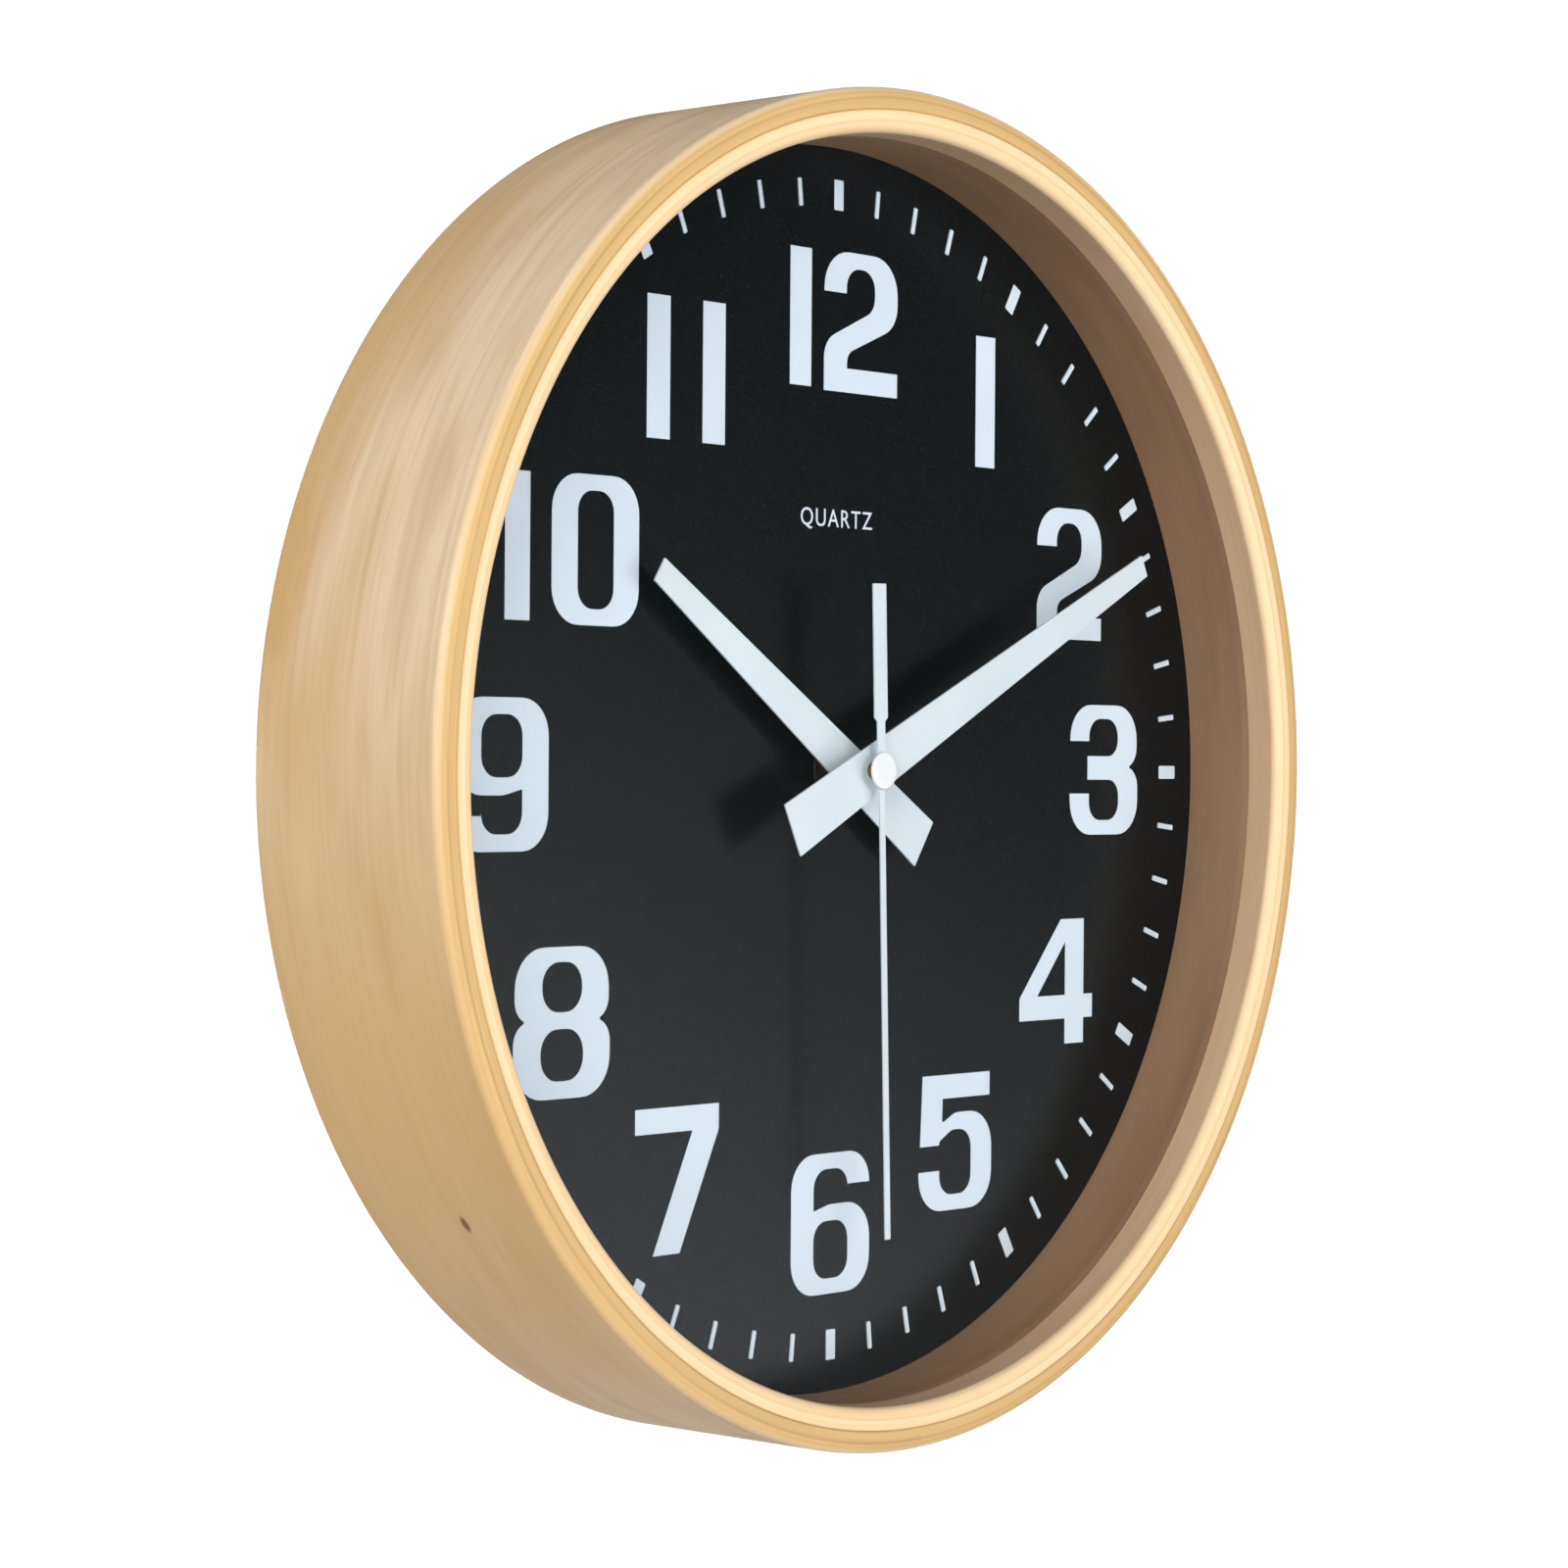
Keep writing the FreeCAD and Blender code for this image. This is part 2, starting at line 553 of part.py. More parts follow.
def make_seconds_wheel():
    """Seconds wheel, its pinion and the long arbor that carries the second hand."""
    arbor_end = Y_DIAL - SECOND_HEIGHT - SECOND_THICK
    solids = [rod(ARBOR_RADIUS, arbor_end, at_depth(MOVEMENT_DEPTH - SHELL_WALL) - LAYER_GAP / 2),
              pinion(THIRD_MODULE, *layer("third")), gear(SECONDS_TEETH, SECONDS_MODULE, *layer("seconds"))]
    nodes["seconds_wheel"] = join(solids)


def make_third_wheel():
    """Wheel that slows the seconds wheel down to the centre wheel."""
    phase = meshed_phase(0, PINION_TEETH, THIRD_DIRECTION, THIRD_TEETH)
    front = layer("centre")[0] - LAYER_GAP / 4
    solids = arbor_with_pivots(front, train_back(), THIRD)
    solids.append(pinion(CENTRE_MODULE, *layer("centre"), 0, THIRD))
    solids.append(gear(THIRD_TEETH, THIRD_MODULE, *layer("third"), phase, THIRD))
    nodes["third_wheel"] = join(solids)


def make_centre_wheel():
    """Wheel that turns once an hour and grips the minute pipe by friction."""
    phase = meshed_phase(0, PINION_TEETH, THIRD_DIRECTION + pi, CENTRE_TEETH)
    wheel = gear(CENTRE_TEETH, CENTRE_MODULE, *layer("centre"), phase)
    nodes["centre_wheel"] = wheel.cut(rod(MINUTE_PIPE_RADIUS + SHAFT_GAP, *layer("centre")))


def make_gear_plate():
    """Middle plate with the front bearings of the train and the motor's posts."""
    front, back = layer("plate")
    low_x, high_x = PLATE_POSTS[3][0] - POST_RADIUS, PLATE_POSTS[0][0] + POST_RADIUS
    low_z, high_z = PLATE_POSTS[3][1] - POST_RADIUS, PLATE_POSTS[1][1] + POST_RADIUS
    solids = [box(low_x, high_x, front, back, low_z, high_z)]
    solids += [rod(POST_RADIUS, front, at_depth(CORE_DEPTH), at) for at in core_ends()]
    solids += [rod(POST_RADIUS + 0.8, front, back, at) for at in core_ends()]
    middle = join(solids)
    middle = middle.cut(rod(ARBOR_RADIUS + SHAFT_GAP, front, back))
    middle = middle.cut(rod(BOSS_RADIUS, front, back, THIRD))
    for at in (INTERMEDIATE, ROTOR):
        middle = middle.cut(rod(PIVOT_RADIUS + SHAFT_GAP, front, back, at))
    for at in PLATE_POSTS:
        middle = middle.cut(rod(POST_PIN_RADIUS, front, back, at))
    nodes["gear_plate"] = middle


# ---- motion work ----
def make_minute_pipe():
    """Cannon pinion: carries the minute hand and drives the minute wheel."""
    front = Y_DIAL - MINUTE_HEIGHT - HAND_THICK
    back = layer("centre")[1] + LAYER_GAP / 4
    pipe = join([rod(MINUTE_PIPE_RADIUS, front, back), pinion(CANNON_MODULE, *layer("minute"))])
    nodes["minute_pipe"] = pipe.cut(rod(ARBOR_RADIUS + SHAFT_GAP, front, back))


def minute_wheel_phase():
    """Phase of the minute wheel in mesh with the cannon pinion."""
    return meshed_phase(0, PINION_TEETH, MINUTE_WHEEL_DIRECTION, MINUTE_WHEEL_TEETH)


def make_minute_wheel():
    """Wheel and pinion that turn the hour wheel, running on a stud."""
    wheel = gear(MINUTE_WHEEL_TEETH, CANNON_MODULE, *layer("minute"), minute_wheel_phase(), MINUTE_WHEEL)
    small = gear(PINION_TEETH, HOUR_MODULE, layer("hour")[0], layer("minute")[0], 0, MINUTE_WHEEL)
    bore = rod(STUD_RADIUS + SHAFT_GAP, layer("hour")[0], layer("minute")[1], MINUTE_WHEEL)
    nodes["minute_wheel"] = join([wheel, small]).cut(bore)


def make_hour_wheel():
    """Hour wheel and the pipe that carries the hour hand."""
    phase = meshed_phase(0, PINION_TEETH, MINUTE_WHEEL_DIRECTION + pi, HOUR_WHEEL_TEETH)
    front = Y_DIAL - HOUR_HEIGHT - HAND_THICK
    back = layer("hour")[1]
    teeth = gear(HOUR_WHEEL_TEETH, HOUR_MODULE, *layer("hour"), phase)
    wheel = join([rod(HOUR_PIPE_RADIUS, front, back), teeth])
    nodes["hour_wheel"] = wheel.cut(rod(MINUTE_PIPE_RADIUS + SHAFT_GAP, front, back))


def make_setting_knob():
    """Thumb wheel at the back whose gear turns the minute wheel."""
    phase = meshed_phase(minute_wheel_phase(), MINUTE_WHEEL_TEETH, KNOB_DIRECTION, KNOB_TEETH)
    gear_front, gear_back = layer("minute")
    disc_front = at_depth(MOVEMENT_DEPTH) - KNOB_THICK
    disc = rod(KNOB_RADIUS, disc_front, at_depth(MOVEMENT_DEPTH), KNOB)
    for number in range(KNOB_NOTCHES):
        notch = polar(KNOB, KNOB_RADIUS, 2 * pi * number / KNOB_NOTCHES)
        disc = disc.cut(rod(KNOB_NOTCH_RADIUS, disc_front, at_depth(MOVEMENT_DEPTH), notch))
    solids = [disc, rod(KNOB_SHAFT_RADIUS, gear_back, disc_front, KNOB),
              gear(KNOB_TEETH, CANNON_MODULE, gear_front, gear_back, phase, KNOB),
              rod(STUD_RADIUS, at_depth(SHELL_WALL) + LAYER_GAP, gear_front, KNOB)]
    nodes["setting_knob"] = join(solids)


# ---- stepping motor and electronics ----
def core_ends():
    """Centres of the two joints between the stator and the coil's core."""
    return [(ROTOR[0] + side * COIL_SPAN / 2, COIL_Z) for side in (-1, 1)]


def make_motor():
    """U-shaped stator, coil core, bobbin and winding."""
    (left, _), (right, _) = core_ends()
    half = STATOR_ARM / 2
    y0, y1 = at_depth(STATOR_DEPTH), at_depth(STATOR_DEPTH + STATOR_THICK)
    solids = [box(left - half, right + half, y0, y1, ROTOR[1] - half, ROTOR[1] + half),
              box(left - half, left + half, y0, y1, ROTOR[1], COIL_Z + half),
              box(right - half, right + half, y0, y1, ROTOR[1], COIL_Z + half),
              rod(STATOR_RING, y0, y1, ROTOR)]
    nodes["stator"] = join(solids).cut(rod(STATOR_HOLE, y0, y1, ROTOR))
    low, high = COIL_Z - CORE_WIDTH / 2, COIL_Z + CORE_WIDTH / 2
    core = box(left - half, right + half, at_depth(CORE_DEPTH), y0, low, high)
    nodes["coil_core"] = core
    make_coil(left + half, right - half, at_depth(CORE_DEPTH + CORE_THICK / 2), core)


def make_coil(x0, x1, y, core):
    """Bobbin on the core between two places on X, and the wire wound on it."""
    flanges = [rod_along_x(BOBBIN_FLANGE, x0, x0 + FLANGE_THICK, y, COIL_Z),
               rod_along_x(BOBBIN_FLANGE, x1 - FLANGE_THICK, x1, y, COIL_Z)]
    bobbin = join(flanges + [rod_along_x(BOBBIN_RADIUS, x0, x1, y, COIL_Z)]).cut(core)
    wound = rod_along_x(WINDING_RADIUS, x0 + FLANGE_THICK, x1 - FLANGE_THICK, y, COIL_Z)
    nodes["coil_bobbin"] = bobbin
    nodes["coil_winding"] = wound.cut(rod_along_x(BOBBIN_RADIUS, x0, x1, y, COIL_Z))


def make_electronics():
    """Circuit board with the driver chip and the tuning-fork crystal."""
    x0, x1 = -CONTACT_X, -CONTACT_X + PCB_LENGTH
    y0 = at_depth(STATOR_DEPTH)
    nodes["circuit_board"] = box(x0, x1, y0, y0 + PCB_THICK, PCB_BOTTOM, PCB_TOP)
    nodes["driver_chip"] = box(x0 + 3.0, x0 + 7.0, y0 - 0.9, y0, PCB_BOTTOM + 2.0, PCB_BOTTOM + 5.0)
    nodes["quartz_crystal"] = rod_along_x(1.0, x0 + 9.0, x0 + 15.0, y0 - 1.0, PCB_BOTTOM + 3.0)


# ---- battery ----
def make_battery():
    """AA cell across the bottom of the movement."""
    y = at_depth(BATTERY_DEPTH)
    left, right = -BATTERY_LENGTH / 2, BATTERY_LENGTH / 2
    can = rod_along_x(BATTERY_RADIUS, left, right - BATTERY_NUB_LENGTH, y, BATTERY_Z)
    nub = rod_along_x(BATTERY_NUB_RADIUS, right - BATTERY_NUB_LENGTH, right, y, BATTERY_Z)
    nodes["battery"] = join([can, nub])


def strip_places():
    """Both edges of the contact strips: they reach halfway through the board's thickness."""
    return at_depth(LAYERS["seconds"][1]), at_depth(STATOR_DEPTH + PCB_THICK / 2)


def contact(side, strip_top):
    """Contact plate at one end of the battery, with a strip that runs up the side."""
    x0, x1 = sorted((side * CONTACT_X, side * (CONTACT_X + CONTACT_THICK)))
    low, high = BATTERY_Z - CONTACT_WIDTH / 2, BATTERY_Z + CONTACT_WIDTH / 2
    y0, y1 = strip_places()
    pad = box(x0, x1, at_depth(2 * SHELL_WALL), at_depth(MOVEMENT_DEPTH - 2 * SHELL_WALL), low, high)
    return [pad, box(x0, x1, y0, y1, low, strip_top)]


def make_contacts():
    """Negative contact to the board's end, positive contact over the coil to its top."""
    nodes["contact_negative"] = join(contact(-1, PCB_BOTTOM + 4.0))
    strip_top = PCB_TOP + CONTACT_THICK
    y0, y1 = strip_places()
    across = box(-CONTACT_X + PCB_LENGTH - 6.0, CONTACT_X + CONTACT_THICK, y0, y1, PCB_TOP, strip_top)
    nodes["contact_positive"] = join(contact(1, strip_top) + [across])


# ---- hands ----
def tapered_hand(tip, tail, height, shaft_radius):
    """Flat bar with square ends that points at twelve; tip and tail are (distance, width) pairs."""
    outline = [(-tail[1] / 2, -tail[0]), (tail[1] / 2, -tail[0]), (tip[1] / 2, tip[0]), (-tip[1] / 2, tip[0])]
    back = Y_DIAL - height
    front = back - HAND_THICK
    return plate(outline, front, back).cut(rod(shaft_radius, front, back))


def make_hour_hand():
    """Hour hand and the collet that grips the hour pipe."""
    tip, tail = (HOUR_TIP, HOUR_TIP_WIDTH), (HOUR_TAIL, HOUR_TAIL_WIDTH)
    hand = tapered_hand(tip, tail, HOUR_HEIGHT, HOUR_PIPE_RADIUS)
    back = Y_DIAL - HOUR_HEIGHT
    nodes["hour_hand"] = turned(hand, HOUR_ANGLE)
    nodes["hour_hand_collet"] = ring(HOUR_COLLET_RADIUS, HOUR_PIPE_RADIUS, back, back + HOUR_COLLET_LENGTH)


def make_minute_hand():
    """Minute hand and the brass bush that grips the minute pipe."""
    tip, tail = (MINUTE_TIP, MINUTE_TIP_WIDTH), (MINUTE_TAIL, MINUTE_TAIL_WIDTH)
    hand = tapered_hand(tip, tail, MINUTE_HEIGHT, MINUTE_PIPE_RADIUS)
    back = Y_DIAL - MINUTE_HEIGHT
    nodes["minute_hand"] = turned(hand, MINUTE_ANGLE)
    nodes["minute_hand_bush"] = ring(MINUTE_BUSH_RADIUS, MINUTE_PIPE_RADIUS, back, back + MINUTE_BUSH_LENGTH)


def make_second_hand():
    """Second hand with its counterweight, the tube on the arbor and the round cap."""
    back = Y_DIAL - SECOND_HEIGHT
    front = back - SECOND_THICK
    needle, neck, tail = SECOND_WIDTH / 2, SECOND_NECK_WIDTH / 2, SECOND_TAIL_WIDTH / 2
    outline = [(needle, 0), (needle, SECOND_TIP), (-needle, SECOND_TIP), (-needle, 0), (-neck, 0),
               (-neck, -SECOND_NECK), (-tail, -SECOND_NECK), (-tail, -SECOND_TAIL), (tail, -SECOND_TAIL),
               (tail, -SECOND_NECK), (neck, -SECOND_NECK), (neck, 0)]
    hand = plate(outline, front, back).cut(rod(ARBOR_RADIUS, front, back))
    nodes["second_hand"] = turned(hand, SECOND_ANGLE)
    nodes["second_hand_tube"] = ring(SECOND_TUBE_RADIUS, ARBOR_RADIUS, back, back + SECOND_TUBE_LENGTH)
    cap = rod(CAP_RADIUS, front - CAP_THICK, front)
    nodes["second_hand_cap"] = rounded_rims(cap, front - CAP_THICK, [CAP_RADIUS], CAP_ROUND)


def export_all():
    """Move every piece into the part's frame and write it."""
    os.makedirs("parts", exist_ok=True)
    to_origin = FreeCAD.Vector(0, -Y_PLATE_BACK, -KEYHOLE_Z)
    for name, shape in nodes.items():
        shape.translate(to_origin)
        shape.exportStep(f"parts/{name}.step")
        print(f"{name:22s} solids {len(shape.Solids)} valid {shape.isValid()} volume {shape.Volume:10.2f}")
    print("shaft axis at y, z of the part's frame:", -Y_PLATE_BACK, -KEYHOLE_Z)


make_hoops()
make_glass_and_dial()
make_back_panel()
make_hanger()
make_front_case()
make_back_case()
make_clamping_parts()
make_rotor()
make_intermediate_wheel()
make_seconds_wheel()
make_third_wheel()
make_centre_wheel()
make_gear_plate()
make_minute_pipe()
make_minute_wheel()
make_hour_wheel()
make_setting_knob()
make_motor()
make_electronics()
make_battery()
make_contacts()
make_hour_hand()
make_minute_hand()
make_second_hand()
export_all()
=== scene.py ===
"""Looks of the bentwood wall clock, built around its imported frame. Every length is in metres.

The clock hangs with its dial facing -Y. The hand shaft runs along Y through the centre of the case.
"""
import json
from math import atan2, cos, hypot, pi, radians, sin

import bpy
from bpy.props import FloatProperty, FloatVectorProperty, IntProperty, PointerProperty, StringProperty
from mathutils import Matrix, Vector

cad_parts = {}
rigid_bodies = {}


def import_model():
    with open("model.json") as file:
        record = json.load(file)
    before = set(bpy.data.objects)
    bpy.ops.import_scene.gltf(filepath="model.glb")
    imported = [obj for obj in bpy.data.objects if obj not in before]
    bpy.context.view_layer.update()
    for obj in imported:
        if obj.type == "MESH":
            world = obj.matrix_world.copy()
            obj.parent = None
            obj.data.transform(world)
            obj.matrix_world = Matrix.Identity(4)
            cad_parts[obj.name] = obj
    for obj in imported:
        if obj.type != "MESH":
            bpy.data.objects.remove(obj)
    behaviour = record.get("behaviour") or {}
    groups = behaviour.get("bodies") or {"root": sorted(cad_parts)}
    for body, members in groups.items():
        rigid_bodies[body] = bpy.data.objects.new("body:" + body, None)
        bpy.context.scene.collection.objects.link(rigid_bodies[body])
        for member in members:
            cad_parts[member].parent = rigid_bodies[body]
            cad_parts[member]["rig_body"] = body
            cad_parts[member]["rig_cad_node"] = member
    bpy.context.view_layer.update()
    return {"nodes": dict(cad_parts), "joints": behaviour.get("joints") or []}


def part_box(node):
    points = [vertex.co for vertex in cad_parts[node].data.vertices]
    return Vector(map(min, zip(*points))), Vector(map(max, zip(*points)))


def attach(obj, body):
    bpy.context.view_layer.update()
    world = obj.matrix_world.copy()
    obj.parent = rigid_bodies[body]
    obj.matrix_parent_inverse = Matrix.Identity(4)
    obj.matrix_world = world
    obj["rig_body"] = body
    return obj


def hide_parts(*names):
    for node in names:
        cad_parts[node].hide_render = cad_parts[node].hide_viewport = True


bl_info = {
    "name": "Bentwood Wall Clock",
    "version": (1, 0, 0),
    "blender": (4, 5, 0),
    "location": "View3D > Sidebar > Clock",
    "description": "Builds the bentwood case, dial, hands and movement of a wall clock",
    "category": "Add Mesh",
}

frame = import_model()
MM = 0.001
TOUCH = 1e-6                # how near two places count as one
CAD_MERGE = 0.001 * MM      # joins the loose triangles of a CAD node
PIECE_MERGE = 0.002 * MM    # joins doubles in a modelled piece
FACING = 0.9                # how squarely a picked face looks along an axis

# ---- places read from the frame ----
CASE_LOW, CASE_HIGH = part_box("outer_hoop")
SHAFT_X = (CASE_LOW.x + CASE_HIGH.x) / 2
SHAFT_Z = next(j["pos_m"][2] for j in frame["joints"] if j["name"] == "minute_hand_spin")
CASE_RADIUS = CASE_HIGH.x - SHAFT_X
FRONT_Y, WALL_Y = CASE_LOW.y, CASE_HIGH.y
DIAL_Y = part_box("dial_face")[0].y


def span_y(node):
    """Front and back of a node along Y."""
    low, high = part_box(node)
    return low.y, high.y


def radius_of(node):
    """Outer radius of a round node, from its width."""
    low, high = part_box(node)
    return (high.x - low.x) / 2


LINING_OUTSIDE = radius_of("spacer_hoop")
GLASS_RADIUS = radius_of("glass_lens")


# ---- settings ----
class CaseSettings(bpy.types.PropertyGroup):
    """Sizes and colours of the bentwood case."""
    lining_wall: FloatProperty(name="Lining wall", description="Thickness of the inner rings",
                               default=5.0 * MM, unit="LENGTH")
    front_round: FloatProperty(name="Front rounding", description="Radius of the rim's front edges",
                               default=2.4 * MM, unit="LENGTH")
    rear_round: FloatProperty(name="Rear rounding", description="Radius of the rim's rear edges",
                              default=1.0 * MM, unit="LENGTH")
    joint_round: FloatProperty(name="Joint easing", description="Radius of the edges along the glue line",
                               default=0.25 * MM, unit="LENGTH")
    steps: IntProperty(name="Steps", description="Segments around the case", default=240, min=64)
    ply: FloatProperty(name="Ply", description="Thickness of one layer of wood",
                       default=2.5 * MM, unit="LENGTH")
    # Shaded wood is the case's wood darkened to paint the shade in the recess behind the glass.
    shade: FloatVectorProperty(name="Shaded wood", description="Wood behind the glass", subtype="COLOR",
                               default=(0.30, 0.175, 0.092), min=0, max=1)
    light_wood: FloatVectorProperty(name="Light wood", description="Main colour of the veneer",
                                    subtype="COLOR", default=(0.745, 0.59, 0.405), min=0, max=1)
    dark_wood: FloatVectorProperty(name="Dark wood", description="Streaks of the veneer", subtype="COLOR",
                                   default=(0.60, 0.43, 0.25), min=0, max=1)
    # Amber paints the shade on the lower left of the case, besides colouring the veneer's patches.
    amber_and_shade: FloatVectorProperty(name="Amber", description="Patches and glue lines", subtype="COLOR",
                               default=(0.56, 0.33, 0.115), min=0, max=1)


class DialSettings(bpy.types.PropertyGroup):
    """Sizes and colours of the printed dial."""
    ink: FloatProperty(name="Ink thickness", description="How far the print stands off the dial",
                       default=0.05 * MM, unit="LENGTH")
    mark_radius: FloatProperty(name="Mark radius", description="Centre of the minute marks",
                               default=129.5 * MM, unit="LENGTH")
    word: StringProperty(name="Word", description="Generic word under twelve", default="QUARTZ")
    word_width: FloatProperty(name="Word width", description="Width of the word",
                              default=25.0 * MM, unit="LENGTH")
    word_height: FloatProperty(name="Word place", description="Height of the word above the shaft",
                               default=56.5 * MM, unit="LENGTH")
    ground: FloatVectorProperty(name="Dial", description="Colour of the dial", subtype="COLOR",
                                default=(0.0013, 0.0016, 0.0023), min=0, max=1)
    print_white: FloatVectorProperty(name="Print", description="Colour of the numerals", subtype="COLOR",
                                     default=(0.60, 0.69, 0.78), min=0, max=1)


class HandSettings(bpy.types.PropertyGroup):
    """Edges and colour of the hands."""
    edge: FloatProperty(name="Edge", description="Rounding of the hands' edges",
                        default=0.1 * MM, unit="LENGTH")
    paint: FloatVectorProperty(name="Paint", description="Colour of the hands", subtype="COLOR",
                               default=(0.60, 0.67, 0.725), min=0, max=1)


class StageSettings(bpy.types.PropertyGroup):
    """Camera, lights and floor."""
    azimuth: FloatProperty(name="Azimuth", description="Camera's turn from the dial's axis",
                           default=radians(49.322), subtype="ANGLE")
    elevation: FloatProperty(name="Elevation", description="Camera's height angle",
                             default=radians(0.259), subtype="ANGLE")
    roll: FloatProperty(name="Roll", description="Camera's roll", default=radians(0.424), subtype="ANGLE")
    distance: FloatProperty(name="Distance", description="Camera to the middle of the front edge",
                            default=864.4 * MM, unit="LENGTH")
    aim_right: FloatProperty(name="Aim right", description="How far right of the view the clock's front sits",
                             default=31.5 * MM, unit="LENGTH")
    aim_up: FloatProperty(name="Aim up", description="How far up the clock's front sits",
                          default=2.87 * MM, unit="LENGTH")
    lens: FloatProperty(name="Lens", description="Focal length in millimetres", default=89.8)
    floor_drop: FloatProperty(name="Floor drop", description="Gap between the clock and the floor",
                              default=1.2, unit="LENGTH")
    key: FloatProperty(name="Key light", description="Power of the light from the left",
                       default=84.0, unit="POWER")
    front: FloatProperty(name="Front light", description="Power of the light from the front",
                         default=39.0, unit="POWER")
    rear: FloatProperty(name="Rear light", description="Power of the light on the back",
                        default=45.0, unit="POWER")
    side: FloatProperty(name="Side light", description="Power of the light on the right side",
                        default=34.0, unit="POWER")
    fill: FloatProperty(name="Fill", description="Light that the surround adds", default=0.12)
    sheen: FloatProperty(name="Sheen", description="Light from the brighter place in the surround",
                         default=2.8)
    mirror: FloatProperty(name="Mirrored fill", description="Brightness of the surround in reflections",
                          default=0.05)
    gloss: FloatProperty(name="Mirrored sheen", description="Brightness of that place in reflections",
                         default=4.6)
    white: FloatProperty(name="White", description="How white the surround looks", default=1.15)


# ---- modelling helpers ----
def clear_selection():
    """Leaves edit mode and deselects every object, so that an operator acts on what is added next."""
    if bpy.context.mode != "OBJECT":
        bpy.ops.object.mode_set(mode="OBJECT")
    bpy.ops.object.select_all(action="DESELECT")


def only(obj):
    """Makes an object the one selected and active object."""
    clear_selection()
    obj.select_set(True)
    bpy.context.view_layer.objects.active = obj


def new_piece(name):
    """The primitive that was just added, renamed."""
    obj = bpy.context.object
    obj.name = obj.data.name = name
    return obj


def pick(obj, kind, elements, test):
    """Enters edit mode with the elements of one kind selected that pass a test."""
    only(obj)
    bpy.ops.object.mode_set(mode="EDIT")
    bpy.ops.mesh.select_mode(type=kind)
    bpy.ops.mesh.select_all(action="DESELECT")
    bpy.ops.object.mode_set(mode="OBJECT")
    for element in getattr(obj.data, elements):
        element.select = bool(test(element))
    bpy.ops.object.mode_set(mode="EDIT")


def pick_faces(obj, test):
    """Selects the faces whose centre and normal pass a test."""
    pick(obj, "FACE", "polygons", lambda face: test(face.center, face.normal))


def bake_place(obj):
    """Moves an object's place, turn and scale into its mesh."""
    only(obj)
    bpy.ops.object.transform_apply(location=True, rotation=True, scale=True)


def mend_normals(obj):
    """Merges doubles and turns every face outwards."""
    only(obj)
    bpy.ops.object.mode_set(mode="EDIT")
    bpy.ops.mesh.select_all(action="SELECT")
    bpy.ops.mesh.remove_doubles(threshold=PIECE_MERGE)
    bpy.ops.mesh.normals_make_consistent(inside=False)
    bpy.ops.object.mode_set(mode="OBJECT")


def even_shading(obj, angle=radians(46)):
    """Smooths rounded edges while flat faces stay flat."""
    only(obj)
    bpy.ops.object.shade_smooth_by_angle(angle=angle)
    weighted = obj.modifiers.new("flats", "WEIGHTED_NORMAL")
    weighted.keep_sharp, weighted.weight = True, 90
    bpy.ops.object.modifier_apply(modifier=weighted.name)


def soften(obj, width, segments=2, angle=radians(35)):
    """Rounds an object's sharp edges and smooths its shading."""
    only(obj)
    bevel = obj.modifiers.new("edges", "BEVEL")
    bevel.width, bevel.segments, bevel.limit_method, bevel.angle_limit = width, segments, "ANGLE", angle
    bpy.ops.object.modifier_apply(modifier=bevel.name)
    even_shading(obj)


def cut(obj, cutter):
    """Takes one object away from another and removes the cutter."""
    only(obj)
    boolean = obj.modifiers.new("cut", "BOOLEAN")
    boolean.operation, boolean.object, boolean.solver = "DIFFERENCE", cutter, "EXACT"
    bpy.ops.object.modifier_apply(modifier=boolean.name)
    bpy.data.objects.remove(cutter, do_unlink=True)


def add_rod(name, radius, y0, y1, x=SHAFT_X, z=SHAFT_Z, vertices=64):
    """Cylinder along Y, as a new piece."""
    clear_selection()
    bpy.ops.mesh.primitive_cylinder_add(vertices=vertices, radius=radius, depth=y1 - y0,
                                        location=(x, (y0 + y1) / 2, z), rotation=(pi / 2, 0, 0))
    obj = new_piece(name)
    bake_place(obj)
    return obj


def join_pieces(name, pieces):
    """Joins pieces into one."""
    clear_selection()
    for piece in pieces:
        piece.select_set(True)
    bpy.context.view_layer.objects.active = pieces[0]
    bpy.ops.object.join()
    return new_piece(name)


def turn_about_shaft(obj, angle):
    """Turns a piece clockwise about the shaft, as seen from the front."""
    centre = Matrix.Translation((SHAFT_X, 0, SHAFT_Z))
    obj.data.transform(centre @ Matrix.Rotation(angle, 4, "Y") @ centre.inverted())
    obj.data.update()


def own_copy(obj):
    """Copy of an object with a mesh of its own."""
    copy = obj.copy()
    copy.data = obj.data.copy()
    bpy.context.scene.collection.objects.link(copy)
    return copy


def merged_copy(node):
    """Copy of a CAD node with its triangles joined, left in edit mode with all of it selected."""
    obj = own_copy(frame["nodes"][node])
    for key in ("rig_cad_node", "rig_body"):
        if key in obj:
            del obj[key]
    obj.parent = None
    only(obj)
    bpy.ops.object.mode_set(mode="EDIT")
    bpy.ops.mesh.select_all(action="SELECT")
    bpy.ops.mesh.remove_doubles(threshold=CAD_MERGE)
    return obj


def refined_copy(name, node, width, segments=2):
    """Copy of a CAD node with merged points and rounded edges, to stand for it."""
    obj = merged_copy(node)
    obj.name = obj.data.name = name
    bpy.ops.mesh.dissolve_limited(angle_limit=radians(0.5))
    bpy.ops.object.mode_set(mode="OBJECT")
    soften(obj, width, segments)
    return obj


def finish_piece(obj, body, material, *nodes, slot=None):
    """Gives a piece its material and its body, and hides the CAD nodes that it stands for."""
    obj.data.materials.clear()
    obj.data.materials.append(material)
    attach(obj, body)
    if nodes:
        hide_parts(*nodes)
    return obj


def stand_in(name, node, body, material, width, slot, segments=2):
    """Copy of a CAD node with rounded edges that stands for it."""
    return finish_piece(refined_copy(name, node, width, segments), body, material, node, slot=slot)


